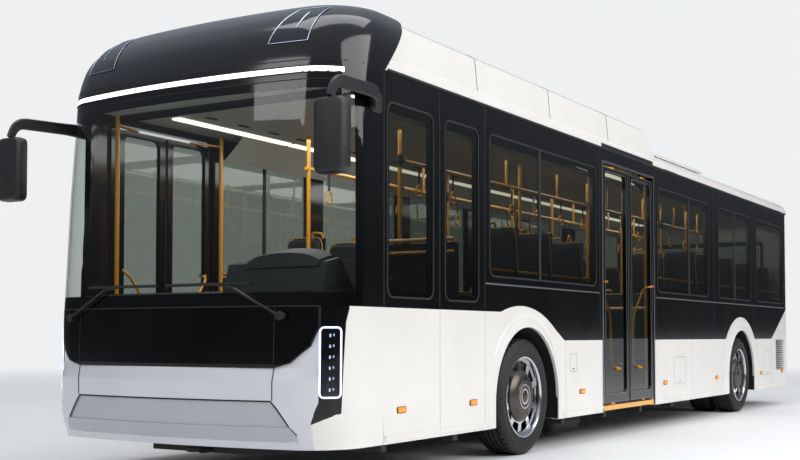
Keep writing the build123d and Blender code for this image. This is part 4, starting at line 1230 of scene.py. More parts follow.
# The polished flange that holds the tyre's bead
flange_profile = (
    (0.3155, -0.060), (0.3155, -0.024), (0.320, -0.014), (0.330, -0.009),
    (0.337, -0.010), (0.339, -0.016), (0.330, -0.022),
)
flange = turned(flange_profile, 96)
absorb(flange, tube([(0.285, -0.05, 0.0), (0.292, -0.030, 0.0)], 0.005))
wheel_ends = (
    # end, axle, cover
    ("front", front_axle, hub_cover(0.0045, 0.044)),
    ("rear", rear_axle, hub_cover(0.020, 0.100)),
)
for end, axle, cover in wheel_ends:
    for side in side_turns:
        body = end + "_wheel_" + side
        shape = bmesh.new()
        absorb(shape, cover, wheel_place(side, axle), keep=True)
        add_piece("hub_cover_" + end + "_" + side, shape, hub_bronze, body)
        shape = bmesh.new()
        absorb(shape, flange, wheel_place(side, axle), keep=True)
        add_piece("rim_flange_" + end + "_" + side, shape, polished_rim, body)

# %% [markdown]
# Each door leaf is a pane in a black frame. Round it run a grey aluminium line, rubber fingers that
# meet over the gap between the leaves, a kick plate, and a yellow grab handle on its inner side.
# They ride on the leaf's own body, so they move as it opens.

# %% Door leaf details
leaf_foot, leaf_head = 0.338, 2.612
brush_section = ((1.246, 0.340), (1.246, 0.326), (1.254, 0.326), (1.254, 0.340))
inset_line = ((2.5695, -0.0435), (2.565, -0.030))
for stem, place, side in (("middle_door", on_left, 1), ("front_door", on_right, -1)):
    # The far edge is the one in the middle of the doorway
    for word, way_to_far in (("front", -1), ("rear", 1)):
        body = stem + "_" + word
        low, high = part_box(body + "_leaf")
        glass_low, glass_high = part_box(body + "_glass")
        x0, x1 = low.x - front_corner, high.x - front_corner
        near, far = (x1, x0) if way_to_far < 0 else (x0, x1)
        lines = bmesh.new()
        glass = (glass_low.x - front_corner, glass_high.x - front_corner, glass_low.z, glass_high.z)
        leaf = (x0, x1, leaf_foot, leaf_head)
        kick = (x0 + 0.02, x1 - 0.02, leaf_foot + 0.012, leaf_foot + 0.074)
        absorb(lines, frame_ring(place, grown(glass, 0.010), 0.058, 0.009, -0.006, -0.0032))
        absorb(lines, frame_ring(place, grown(leaf, -0.003), 0.006, 0.007, -0.006, -0.0036))
        absorb(lines, plate_on(place, kick, 0.006, -0.0465, -0.0448, 0.001))
        add_piece(body + "_metal_lines", lines, trim_aluminium, body)
        fingers = bmesh.new()
        for edge_x, way, reach in ((far, way_to_far, 0.009), (near, -way_to_far, 0.006)):
            section = [(0, -0.014), (reach, -0.006), (reach, 0.006), (0, 0.014)]
            rows = [
                [at(edge_x + way * a, side * (1.250 + b), z) for a, b in section]
                for z in (leaf_foot + 0.004, leaf_head - 0.004)
            ]
            absorb(fingers, skin(rows))
        brush = [[at(x, side * y, z) for y, z in brush_section] for x in (x0 + 0.01, x1 - 0.01)]
        absorb(fingers, skin(brush))
        inset = [[place(x, z, out) for z, out in inset_line] for x in (x0 + 0.07, x1 - 0.07)]
        absorb(fingers, skin(inset, ring=False))
        add_piece(body + "_rubber_fingers", fingers, joint_rubber, body)
        hinge_x, swing = near + 0.052 * way_to_far, far - near
        grip = [
            (hinge_x, 1.50, -0.046), (hinge_x, 1.50, -0.080), (hinge_x + 0.47 * swing, 1.20, -0.080),
            (hinge_x + 0.50 * swing, 0.66, -0.080), (hinge_x + 0.50 * swing, 0.66, -0.046),
        ]
        handle = tube(bent([place(*point) for point in grip], 0.10, 6), 0.012, 10)
        add_piece(body + "_grab_handle", handle, rail_enamel, body)

# %% [markdown]
# Round each doorway goes a fixed grey frame, and the floor ends in an aluminium threshold with a
# yellow nosing that people see as they step in.

# %% Doorway frames and thresholds
door_frames, nosings, thresholds = bmesh.new(), bmesh.new(), bmesh.new()
sill_z = 0.3135
for place, x0, x1 in ((on_left, -6.05, -4.62), (on_right, -1.87, -0.75)):
    outline = [(x0, 0.262), (x0, 2.645), (x1, 2.645), (x1, 0.262)]
    wide = [(x0 - 0.022, 0.262), (x0 - 0.022, 2.667), (x1 + 0.022, 2.667), (x1 + 0.022, 0.262)]
    rows = [
        [place(*o, -0.01), place(*i, -0.01), place(*i, 0.004), place(*o, 0.004)]
        for o, i in zip(outline, wide)
    ]
    absorb(door_frames, skin(rows))
    tread = (x0 + 0.01, x1 - 0.01, -0.085, -0.012)
    tread_place = lambda x, out, up: place(x, sill_z + up, out)
    absorb(thresholds, plate_on(tread_place, tread, 0.004, -0.012, 0.0015, 0.001))
    absorb(nosings, plate_on(place, (x0 + 0.008, x1 - 0.008, 0.268, 0.3145), 0.006, -0.03, -0.004, 0.003))
add_piece("doorway_frames", door_frames, trim_aluminium)
add_piece("threshold_plates", thresholds, trim_aluminium)
add_piece("threshold_nosings", nosings, rail_enamel)

# %% [markdown]
# The passenger seats have a moulded shell, a stuffed cushion and a stuffed back with light piping
# along their edges, and a grab handle on the aisle corner. The two pads are made once: a cage is
# blown up by a short cloth simulation, how far each point may move is capped, and the upper face
# gets a crown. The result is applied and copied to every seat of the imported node.

# %% Pad maker
pad_voxel, pad_pressure, pad_frames, pad_crown = 0.021, 4.0, 20, 0.006


def applied(piece):
    # The mesh that the modifiers make of an object; the modifiers then go
    depsgraph = bpy.context.evaluated_depsgraph_get()
    mesh = bpy.data.meshes.new_from_object(piece.evaluated_get(depsgraph))
    piece.modifiers.clear()
    return mesh


def blown_pad(width, length, thick, corner, cap, name):
    # A closed pad in the plane z = 0, x along its length, blown up by pressure and kept within cap
    shape = bmesh.new()
    place = Matrix.Diagonal((length, width, thick * 0.55, 1))
    bmesh.ops.create_cube(shape, size=1, matrix=place)
    uprights = [e for e in shape.edges if abs(e.verts[0].co.z - e.verts[1].co.z) > 0.001]
    bmesh.ops.bevel(
        shape, geom=uprights, offset=corner, segments=3, profile=0.5, affect="EDGES", material=-1
    )
    pad = new_object(name, shape)
    remesh = pad.modifiers.new("remesh", "REMESH")
    remesh.mode = "VOXEL"
    remesh.voxel_size = pad_voxel
    bpy.context.view_layer.update()
    pad.data = applied(pad)
    start = [v.co.copy() for v in pad.data.vertices]
    cloth = pad.modifiers.new("cloth", "CLOTH")
    cloth.settings.use_pressure = True
    cloth.settings.uniform_pressure_force = pad_pressure
    cloth.settings.effector_weights.gravity = 0
    cloth.settings.quality = 4
    for number in range(pad_frames):
        scene.frame_set(number + 1)
    pad.data = applied(pad)
    scene.frame_set(1)
    shape = bmesh.new()
    shape.from_mesh(pad.data)
    bpy.data.objects.remove(pad)
    for vert, rest in zip(shape.verts, start):
        move = vert.co - rest
        if move.length > cap:
            vert.co = rest + move.normalized() * cap
        crown = (1 - (2 * rest.x / length) ** 4) * (1 - (2 * rest.y / width) ** 4)
        vert.co.z += (pad_crown if rest.z > 0 else 0.0) * max(0.0, crown)
    bmesh.ops.smooth_vert(
        shape, verts=shape.verts, factor=0.5, use_axis_x=True, use_axis_y=True, use_axis_z=True
    )
    return shape


def sewn(shape, channels, depth, width=0.016):
    # Presses sewn channels across the pad's upper face at the given x places
    for vert in shape.verts:
        for channel in channels:
            reach = abs(vert.co.x - channel)
            if vert.co.z > 0 and reach < width:
                vert.co.z -= depth * (1 - reach / width)
    return shape


cushion_pad = sewn(blown_pad(0.385, 0.375, 0.060, 0.05, 0.010, "cushion_cage"), (-0.085,), 0.006)
back_pad = sewn(blown_pad(0.385, 0.640, 0.050, 0.06, 0.010, "back_cage"), (0.130, -0.060), 0.006)
print("pad faces", len(cushion_pad.faces), len(back_pad.faces))

# %% [markdown]
# One seat is laid out from the front of its cushion at x = 0 and its top at z = 0. The shell is a
# curved sheet with thickness that runs under the cushion and up behind the back.

# %% One passenger seat
upside_down = Matrix.Rotation(math.pi, 4, "X")
back_turn = Matrix.Rotation(math.pi / 2 + math.atan2(0.085, 0.68), 4, "Y")
cushion_place = Matrix.Translation((-0.205, 0, -0.030))
back_place = Matrix.Translation((-0.392, 0, 0.385)) @ back_turn @ upside_down


def shell_sheet():
    # Side line of the shell, from the front lip under the cushion and up the back
    corners = [
        (0.004, -0.052, 0), (-0.02, -0.066, 0), (-0.37, -0.068, 0),
        (-0.400, 0.04, 0), (-0.478, 0.690, 0), (-0.468, 0.712, 0),
    ]
    across = ((-1, 1), (-0.96, 0.3), (-0.85, 0), (0, -0.1), (0.85, 0), (0.96, 0.3), (1, 1))
    line = bent(corners, 0.01, 4)
    rows = []
    for index, (x, z, level) in enumerate(line):
        half = 0.205 - 0.03 * max(0, (z - 0.55) / 0.17) ** 2
        # The edges turn up along the cushion and forward along the back
        ahead, lift = (0.020, 0) if index / (len(line) - 1) > 0.4 else (0, 0.012)
        rows.append([Vector((x + ahead * k, half * y, z + lift * k)) for y, k in across])
    shape = skin(rows, ring=False)
    bmesh.ops.recalc_face_normals(shape, faces=shape.faces)
    bmesh.ops.solidify(shape, geom=shape.faces[:], thickness=0.006)
    return shape


def rim_of(width, length, corner, place, height):
    # Piping round a pad's edge
    outline = rounded(-length / 2, length / 2, -width / 2, width / 2, corner, 4)
    points = [place @ Vector((x, y, height)) for x, y in outline]
    return swept(points, circle(0.0045, 6), place.to_3x3() @ Vector((0, 0, 1)), loop=True)


shell = shell_sheet()
piping = rim_of(0.392, 0.382, 0.05, cushion_place, 0.020)
absorb(piping, rim_of(0.392, 0.648, 0.06, back_place, 0.014))
grab_line = [(-0.455, 0.150, 0.700), (-0.440, 0.150, 0.748), (-0.445, 0.035, 0.760), (-0.460, 0.035, 0.705)]
grab = tube(bent(grab_line, 0.02, 4), 0.011, 8)

# %% [markdown]
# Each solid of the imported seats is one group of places. Its box tells where the group stands, how
# many places it has and how high its cushions are, and the seat above is copied there.

# %% Seats in their rows
cushions, backs, shells, pipings, grabs, legs = [bmesh.new() for number in range(6)]
seat_pitch = 0.440
back_rise = 0.720
for low, high in islands_of("passenger_seats"):
    width = high.y - low.y
    bench = width > 2
    count = max(1, round(width / seat_pitch))
    top = high.z - (0.700 if bench else back_rise)
    middle = (low.y + high.y) / 2
    inward = -1 if middle > 0 else 1
    front = high.x
    for number in range(count):
        y = middle + (number - (count - 1) / 2) * (width / count)
        place = Matrix.Translation((front - 0.006, y, top))
        absorb(cushions, cushion_pad, place @ cushion_place, keep=True)
        absorb(backs, back_pad, place @ back_place, keep=True)
        absorb(shells, shell, place, keep=True)
        absorb(pipings, piping, place, keep=True)
    if not bench:
        aisle = middle + inward * (width / 2 - 0.215)
        flip = Matrix.Diagonal((1, inward, 1, 1))
        absorb(grabs, grab, Matrix.Translation((front - 0.006, aisle, top)) @ flip, keep=True)
    drop = top - 0.072
    for x in (front - 0.10, front - 0.33):
        absorb(legs, tube([(x, low.y + 0.03, drop), (x, high.y - 0.03, drop)], 0.014))
    if drop - low.z > 0.06:
        leg_rings = (
            (0.075, low.z), (0.075, low.z + 0.010), (0.030, low.z + 0.022),
            (0.027, drop - 0.03), (0.075, drop - 0.006), (0.075, drop),
        )
        leg_x = front - 0.215
        leg_y = middle if count == 1 or bench else middle + inward * 0.14
        for y in (leg_y - 0.6, leg_y, leg_y + 0.6) if bench else (leg_y,):
            absorb(legs, stacked(leg_rings, 12, lambda a, b, z: Vector((leg_x + a, y + b, z))))
seat_cushions = add_piece("passenger_seat_cushions", cushions, seat_cloth, angle=60)
seat_backs = add_piece("passenger_seat_backs", backs, seat_cloth, angle=60)
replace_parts(add_piece("passenger_seat_shells", shells, seat_shell), "passenger_seats")
seat_piping = lacquered("pale_piping_cord", "#D9B25A", "#CDA650", 0.5)
add_piece("passenger_seat_piping", pipings, seat_piping)
add_piece("passenger_seat_grabs", grabs, rail_enamel)
add_piece("passenger_seat_legs", legs, zinc_steel)
for part in (cushion_pad, back_pad, shell, piping, grab):
    part.free()

# %% [markdown]
# The driver's seat is a suspension seat: a ribbed bellows, a wide cushion, a tall back with a
# headrest, and two arm rests. Its pads are made as the passengers' are and may swell a little more.

# %% Driver's seat
driver_x, driver_y, driver_top = front_corner - 1.25, 0.720, 0.7553
driver_cushion = blown_pad(0.470, 0.480, 0.100, 0.06, 0.014, "driver_cushion_cage")
driver_cushion = sewn(driver_cushion, (-0.04, 0.10), 0.006)
driver_back = blown_pad(0.450, 0.560, 0.080, 0.07, 0.014, "driver_back_cage")
driver_back = sewn(driver_back, (0.02, -0.12, 0.14), 0.006)
driver_head = blown_pad(0.270, 0.170, 0.070, 0.05, 0.012, "driver_head_cage")
driver_pads = bmesh.new()
recline = Matrix.Rotation(math.pi / 2 + 0.18, 4, "Y") @ upside_down


def by_driver(x, y, z):
    return Vector((driver_x + x, driver_y + y, z))


absorb(driver_pads, driver_cushion, Matrix.Translation(by_driver(0, 0, driver_top - 0.045)))
absorb(driver_pads, driver_back, Matrix.Translation(by_driver(-0.235, 0, driver_top + 0.300)) @ recline)
absorb(driver_pads, driver_head, Matrix.Translation(by_driver(-0.310, 0, driver_top + 0.590)) @ recline)
driver_seat_pads = add_piece("driver_seat_pads", driver_pads, seat_cloth, angle=60)
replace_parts(driver_seat_pads, "driver_seat")
driver_base = bmesh.new()
bellows = []
for index in range(13):
    half = 0.165 if index % 2 else 0.148
    outline = rounded(-half, half, -half, half, 0.03, 3)
    bellows.append([by_driver(a, b, 0.3153 + 0.02 + index * 0.024) for a, b in outline])
absorb(driver_base, skin(bellows))
absorb(driver_base, box(by_driver(-0.18, -0.18, 0.3156), by_driver(0.18, 0.18, 0.338), 0.006))
absorb(driver_base, box(by_driver(-0.22, -0.215, 0.625), by_driver(0.20, 0.215, 0.690), 0.015))
rest_section = [
    (-0.022, -0.015), (0.022, -0.015), (0.026, 0.0), (0.018, 0.014), (-0.018, 0.014), (-0.026, 0.0),
]
for y in (-0.235, 0.235):
    arm = bent([by_driver(-0.22, y, driver_top + 0.19), by_driver(0.06, y, driver_top + 0.20)], 0.02)
    absorb(driver_base, swept(arm, rest_section))
add_piece("driver_seat_base", driver_base, seat_shell)

# %% [markdown]
# The steering wheel is a thick padded ring on four spokes over a flat boss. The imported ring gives
# its place and rake. The ring is a tube along a circle, and the spokes are flat bars from the boss.

# %% Steering wheel
steering_turn = Matrix.Rotation(-math.radians(28), 4, "Y")
steering_place = Matrix.Translation((front_corner - 0.760, 0.720, 1.330)) @ steering_turn
steering = bmesh.new()
grip = [Vector((a, b, 0)) for a, b in circle(0.236, 64)]
absorb(steering, swept(grip, circle(0.0150, 10), loop=True), steering_place)
for degrees in (35, 145, 215, 325):
    angle = math.radians(degrees)
    way = Vector((math.cos(angle), math.sin(angle), 0))
    spoke = [way * reach + Vector((0, 0, z)) for reach, z in ((0.045, -0.030), (0.14, -0.020), (0.230, 0))]
    absorb(steering, swept(bent(spoke, 0.03), flat(0.034, 0.008, 0.002)), steering_place)
boss_rings = ((0.075, -0.040), (0.082, -0.020), (0.070, 0.0), (0.045, 0.006))
absorb(steering, stacked(boss_rings, 24, lambda a, b, z: Vector((a, b, z))), steering_place)
absorb(steering, tube([steering_place @ Vector((0, 0, -0.03)), at(-0.60, 0.720, 1.060)], 0.036, 12))
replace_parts(add_piece("steering_wheel_padded", steering, dash_skin), "steering_wheel")

# %% [markdown]
# The dashboard carries a hood over the dials, two dark displays, rows of rocker switches, air vents
# along the screen and a ticket stand beside the driver. Displays and switches stay blank.

# %% Dashboard
dash_pieces, displays, switches = bmesh.new(), bmesh.new(), bmesh.new()
hood = []
for step in range(9):
    y = 0.42 + 0.60 * step / 8
    lift = 0.055 * math.sin(math.pi * step / 8) ** 0.5
    line = ((-0.30, 1.44), (-0.32, 1.480 + lift), (-0.47, 1.520 + lift), (-0.48, 1.505 + lift), (-0.40, 1.44))
    hood.append([at(x, y, z) for x, z in line])
absorb(dash_pieces, skin(hood))
absorb(displays, box(at(-0.500, 0.56, 1.365), at(-0.488, 0.88, 1.490), 0.003))
absorb(displays, box(at(-0.575, 0.27, 1.375), at(-0.560, 0.43, 1.475), 0.003))
for row in range(2):
    for number in range(7):
        y = 0.30 + 0.028 * number if row else 0.90 + 0.024 * number
        low = at(-0.628 + 0.018 * row, y, 1.325 + 0.035 * row)
        absorb(switches, box(low, low + Vector((0.012, 0.018, 0.024)), 0.002, 1))
for number in range(24):
    y = -1.00 + number * 0.085
    absorb(switches, swept([at(-0.215, y, 1.263), at(-0.275, y, 1.271)], flat(0.055, 0.006, 0.002)))
absorb(dash_pieces, box(at(-0.66, 0.255, 0.95), at(-0.45, 0.33, 1.38), 0.012))
absorb(dash_pieces, box(at(-1.15, 0.26, 1.02), at(-0.95, 0.40, 1.36), 0.015))
absorb(dash_pieces, tube([at(-1.05, 0.33, 0.316), at(-1.05, 0.33, 1.03)], 0.025, 12))
add_piece("dashboard_hood_and_stands", dash_pieces, dash_skin)
add_piece("dashboard_displays", displays, screen_glass)
add_piece("dashboard_switches_and_vents", switches, black_abs)

# %% [markdown]
# Yellow rails fence the driver's place and run under the windows, and grab loops hang from the long
# rails. All are tubes of 24 to 34 mm, and those that turn have bent corners.

# %% Rails and grab loops
rails = bmesh.new()
stanchion_y, fence = 0.46, -1.80
for z in (1.715, 1.62):
    absorb(rails, tube([at(fence, 0.34, z), at(fence, 1.205, z)], 0.016))
absorb(rails, tube([at(fence, 0.345, 0.3155), at(fence, 0.345, 2.699)], 0.017, 10))
gate = [at(fence, 0.345, 1.05), at(fence + 0.62, 0.345, 1.05), at(fence + 0.62, 0.345, 0.3155)]
absorb(rails, tube(bent(gate, 0.06), 0.016))
sill_rails = (
    # side, front end, rear end, height
    (1, -2.30, -4.40, 1.52), (1, -6.22, -8.05, 1.62), (1, -8.45, -9.90, 1.62),
    (1, -10.2, -11.55, 1.62), (-1, -2.02, -3.30, 1.52), (-1, -3.55, -4.96, 1.30),
    (-1, -5.22, -6.54, 1.30), (-1, -6.8, -8.0, 1.62), (-1, -8.35, -9.5, 1.62),
)
for side, x0, x1, z in sill_rails:
    y, ends = side * 1.150, side * 1.213
    line = [at(x0, ends, z), at(x0 - 0.03, y, z), at(x1 + 0.03, y, z), at(x1, ends, z)]
    absorb(rails, tube(bent(line, 0.03, 3), 0.013))
for side, stanchions in ((1, (-4.50, -6.23)), (-1, (-2.24, -2.24))):
    for x in stanchions:
        absorb(rails, tube([at(x, side * stanchion_y, 1.28), at(x, side * 1.205, 1.28)], 0.016))
    for x in (-3.0, -4.2, -5.4, -6.8, -8.0, -9.2, -10.2):
        absorb(rails, tube([at(x, side * stanchion_y, z) for z in (2.42, 2.699)], 0.012))
add_piece("yellow_rails", rails, rail_enamel)

loops, loop_straps = bmesh.new(), bmesh.new()
loop_outline = ((0, 1), (-0.75, 0.5), (-1, -0.7), (-0.6, -1), (0.6, -1), (1, -0.7), (0.75, 0.5))
for y in (stanchion_y, -stanchion_y):
    for number in range(14):
        x = -2.55 - number * 0.59
        absorb(loop_straps, swept([at(x, y, 2.400), at(x, y, 2.255)], flat(0.028, 0.004, 0.001), (0, 1, 0)))
        ring = [at(x + 0.052 * a, y, 2.205 + 0.052 * b) for a, b in loop_outline]
        absorb(loops, swept(ring, circle(0.008, 6), (0, 1, 0), loop=True))
add_piece("grab_loops", loops, rail_enamel)
add_piece("grab_loop_straps", loop_straps, joint_rubber)

# %% [markdown]
# Two lines of light run along the ceiling with rows of air outlets between them, and coving panels
# close the corners over the windows. The covings stop short of each doorway, because the leaves
# glide in there. The saloon has its own soft lamps, weak enough that only the cabin gains.

# %% Ceiling
strips, ducts, covings = bmesh.new(), bmesh.new(), bmesh.new()
under = 2.7
strip_section = [(-0.045, 0), (-0.035, -0.014), (0.035, -0.014), (0.045, 0)]
coving_line = ((1.205, 2.52), (1.16, 2.50), (0.98, 2.66), (0.95, under))
for side in (1, -1):
    for number in range(7):
        x, y = -1.0 - number * 1.52, side * 0.85
        absorb(strips, swept([at(x, y, under - 0.001), at(x - 1.46, y, under - 0.001)], strip_section))
    for number in range(26):
        x, y = -1.1 - number * 0.4, side * 0.62
        absorb(ducts, box(at(x - 0.12, y - 0.018, under - 0.008), at(x, y + 0.018, under + 0.002), 0.003, 1))
for side, stem in ((1, "middle_door"), (-1, "front_door")):
    leaf_boxes = [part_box(stem + "_" + word + "_leaf") for word in ("front", "rear")]
    doorway_front = max(high.x for low, high in leaf_boxes) + 0.10
    doorway_back = min(low.x for low, high in leaf_boxes) - 0.10
    for start, end in ((front_corner - 0.75, doorway_front), (doorway_back, front_corner - 11.7)):
        if start - end >= 0.1:
            rows = [[Vector((x, side * y, z)) for y, z in coving_line] for x in (start, end)]
            absorb(covings, skin(rows, ring=False))
add_piece("ceiling_light_strips", strips, led_cabin)
add_piece("ceiling_air_outlets", ducts, black_abs)
add_piece("ceiling_covings", covings, lining_board)


def area_light(name, place, size, power):
    data = bpy.data.lights.new(name, "AREA")
    data.shape = "RECTANGLE"
    data.size, data.size_y = size
    data.energy = power
    light = bpy.data.objects.new(name, data)
    scene.collection.objects.link(light)
    light.location = place
    return light


for x in (-1.6, -3.6, -5.6, -7.8, -9.9):
    area_light("cabin_lamp", at(x, 0, under - 0.03), (1.6, 1.2), 26)

# %% [markdown]
# Stop buttons sit on the stanchions at hand height, each a red button in a yellow case, and the
# stanchions have collars where they meet the rails.

# %% Buttons and collars
button_cases, buttons, collars = bmesh.new(), bmesh.new(), bmesh.new()
button_places = (
    (-2.24, 1), (-3.75, 1), (-6.23, 1), (-8.68, 1), (-3.75, -1), (-4.70, -1), (-6.22, -1), (-8.68, -1),
)
for station, side in button_places:
    x, y = front_corner + station, side * stanchion_y
    case_y, button_y = y - side * 0.045, y - side * 0.052
    absorb(button_cases, box((x - 0.028, case_y - 0.012, 1.37), (x + 0.028, case_y + 0.034, 1.47), 0.006))
    absorb(buttons, box((x - 0.016, button_y - 0.008, 1.40), (x + 0.016, button_y + 0.008, 1.44), 0.004))
    absorb(collars, tube([(x, y, 2.375), (x, y, 2.465)], 0.024, 10))
    absorb(collars, tube([(x - 0.045, y, 2.42), (x + 0.045, y, 2.42)], 0.024, 10))
add_piece("stop_button_cases", button_cases, rail_enamel)
add_piece("stop_buttons", buttons, red_lens)
add_piece("rail_collars", collars, black_abs)

# %% [markdown]
# The rear has a tall hatch with a slotted grille, lamps of three chambers on each side, a blank
# plate in its recess, and marker lamps at the top corners. Each lamp chamber is a ring round a
# lens, so the lamp reads as parts and not as one red block.

# %% Rear end
rear_rings, rear_reds, rear_ambers, rear_clears = [bmesh.new() for number in range(4)]
chambers = ((0.985, 1.170, "red"), (0.785, 0.960, "amber"), (0.572, 0.760, "red"))
for side in (1, -1):
    for z0, z1, kind in chambers:
        y0, y1 = sorted((side * 0.968, side * 1.092))
        bezel = (y0 - 0.004, y1 + 0.004, z0 - 0.005, z1 + 0.005)
        lens = (y0 + 0.006, y1 - 0.006, z0 + 0.005, z1 - 0.005)
        target = rear_reds if kind == "red" else rear_ambers
        absorb(rear_rings, frame_ring(on_rear, bezel, 0.022, 0.008, -0.004, -0.0002))
        absorb(target, plate_on(on_rear, lens, 0.018, -0.004, -0.0003, 0.0015))
    y0, y1 = sorted((side * 1.00, side * 1.12))
    plate_lamp = (side * 0.36 - 0.03, side * 0.36 + 0.03, 0.452, 0.468)
    absorb(rear_reds, plate_on(on_rear, (y0, y1, 2.66, 2.695), 0.010, -0.003, -0.0002, 0.001))
    absorb(rear_clears, plate_on(on_rear, plate_lamp, 0.004, -0.003, -0.0002, 0.001))
absorb(rear_rings, frame_ring(on_rear, (-0.903, 0.903, 0.478, 1.293), 0.012, 0.006, -0.006, -0.0002))
add_piece("rear_lamp_bezels", rear_rings, black_abs)
add_piece("rear_lamp_red_lenses", rear_reds, red_lens)
add_piece("rear_lamp_amber_lenses", rear_ambers, amber_lens)
add_piece("plate_lamps", rear_clears, led_white)

hatch_trim, plate = bmesh.new(), bmesh.new()
for number in range(8):
    z = 0.893 + 0.046 * number
    slat = (-0.70, 0.70, z - 0.009, z + 0.003)
    absorb(hatch_trim, plate_on(on_rear, slat, 0.003, -0.010, -0.0005, 0.002, 2))
absorb(hatch_trim, plate_on(on_rear, (-0.09, 0.09, 0.540, 0.565), 0.010, -0.008, -0.0005, 0.003))
add_piece("hatch_slats_and_pull", hatch_trim, black_abs, "hatch")
absorb(plate, plate_on(on_rear, (-0.26, 0.26, 0.300, 0.410), 0.008, -0.003, -0.0002, 0.001))
add_piece("blank_number_plate", plate, blank_plate)

# %% [markdown]
# On the roof stand the battery packs in their ribbed cases and the air conditioner with two fans.
# Each fan sits in a ring under a wire guard of concentric hoops, with pressed blades below it.

# %% Roof equipment
cooler_low, cooler_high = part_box("air_conditioner")
fan_rings, fan_blades, fan_guards = bmesh.new(), bmesh.new(), bmesh.new()
turn_up = Matrix.Rotation(math.pi / 2, 4, "X")
fan_profile = [(0.262, -0.055), (0.262, 0.002), (0.275, 0.004), (0.285, 0.0), (0.285, -0.004)]
hub_profile = [(0.0, -0.02), (0.07, -0.02), (0.075, -0.03), (0.075, -0.055)]
for share in (0.3, 0.7):
    top = Vector((cooler_high.x - 2.5 * share, 0, cooler_high.z))
    to_top = Matrix.Translation(top)
    absorb(fan_rings, turned(fan_profile, 48), to_top @ turn_up)
    absorb(fan_rings, turned(hub_profile, 24), to_top @ turn_up)
    for hoop in (0.10, 0.14, 0.18, 0.22, 0.255):
        line = [Vector((a, b, -0.004)) for a, b in circle(hoop, 36)]
        absorb(fan_guards, swept(line, circle(0.0022, 5), loop=True), to_top)
    for number in range(7):
        angle = 2 * math.pi * number / 7
        along = Vector((math.cos(angle), math.sin(angle), 0))
        across = Vector((-math.sin(angle), math.cos(angle), 0))
        rows = []
        for radius in (0.074, 0.14, 0.20, 0.250):
            twist, wide = 0.5 - radius, 0.035 + radius * 0.18
            line = along * radius + Vector((0, 0, -0.036))
            rows.append([line + across * wide * k - Vector((0, 0, 0.03 * twist * k)) for k in (-1, 0, 1)])
        blade = skin(rows, ring=False)
        bmesh.ops.solidify(blade, geom=blade.faces[:], thickness=0.003)
        absorb(fan_blades, blade, to_top)
        spoke = [top + along * radius + Vector((0, 0, -0.006)) for radius in (0.07, 0.262)]
        absorb(fan_guards, tube(spoke, 0.003, 5))
add_piece("fan_rings", fan_rings, black_abs)
add_piece("fan_blades", fan_blades, black_abs)
add_piece("fan_guards", fan_guards, zinc_steel)

lids, louvres = bmesh.new(), bmesh.new()
for low, high in islands_of("roof_batteries"):
    for number in range(6):
        x = low.x + (high.x - low.x) * (number + 0.5) / 6
        rib_low = (x - 0.016, low.y + 0.06, high.z - 0.001)
        rib_high = (x + 0.016, high.y - 0.06, high.z + 0.008)
        absorb(lids, box(rib_low, rib_high, 0.004, 1))
    lip_low = (low.x + 0.02, low.y - 0.006, high.z - 0.030)
    lip_high = (high.x - 0.02, high.y + 0.006, high.z - 0.012)
    absorb(lids, box(lip_low, lip_high, 0.004, 1))
    middle = (low.x + high.x) / 2
    for side in (1, -1):
        y = side * (high.y - 0.10)
        handle = [
            (middle - 0.07, y, high.z), (middle - 0.07, y, high.z + 0.022),
            (middle + 0.07, y, high.z + 0.022), (middle + 0.07, y, high.z),
        ]
        absorb(lids, tube(bent(handle, 0.01, 2), 0.005, 6))
add_piece("battery_case_ribs", lids, machine_grey)
slat_section = [(-0.018, 0.0), (0.018, 0.0), (0.010, 0.008), (-0.018, 0.002)]
for side in (1, -1):
    for number in range(36):
        x, y = cooler_low.x + 0.16 + number * 0.06, side * (cooler_high.y + 0.001)
        slat = [(x, y, cooler_low.z + 0.05), (x, y, cooler_high.z - 0.04)]
        absorb(louvres, swept(slat, slat_section, (0, side, 0)))
add_piece("cooler_side_louvres", louvres, black_abs)

roof_seams = bmesh.new()
roof_line = (
    (1.254, 2.862), (1.189, 2.927), (1.054, 2.9605), (0.0, 2.9605),
    (-1.054, 2.9605), (-1.189, 2.927), (-1.254, 2.862),
)
seam_section = [(-0.006, -0.002), (0.006, -0.002), (0.004, 0.001), (-0.004, 0.001)]
for x in (-6.45, -7.9, -9.3, -10.7):
    absorb(roof_seams, swept([at(x, y, z) for y, z in roof_line], seam_section))
absorb(roof_seams, box(at(-10.35 - 0.42, -0.36, 2.955), at(-10.35 + 0.42, 0.36, 2.995), 0.020, 3))
add_piece("roof_seams_and_hatch", roof_seams, white_lacquer)
fairing_joints = bmesh.new()
for x in (-2.17, -3.55, -4.93):
    for side in (1, -1):
        line = [at(x, side * y, z) for y, z in ((1.2155, 2.89), (1.1905, 3.150), (1.1305, 3.1905))]
        absorb(fairing_joints, swept(line, flat(0.006, 0.0015), (0, side, 0.3)))
add_piece("fairing_joints", fairing_joints, joint_rubber)

# %% [markdown]
# Under the floor lie air tanks, brake and cable lines along the rails, and air springs at both
# axles. They show from low angles and through the arches.

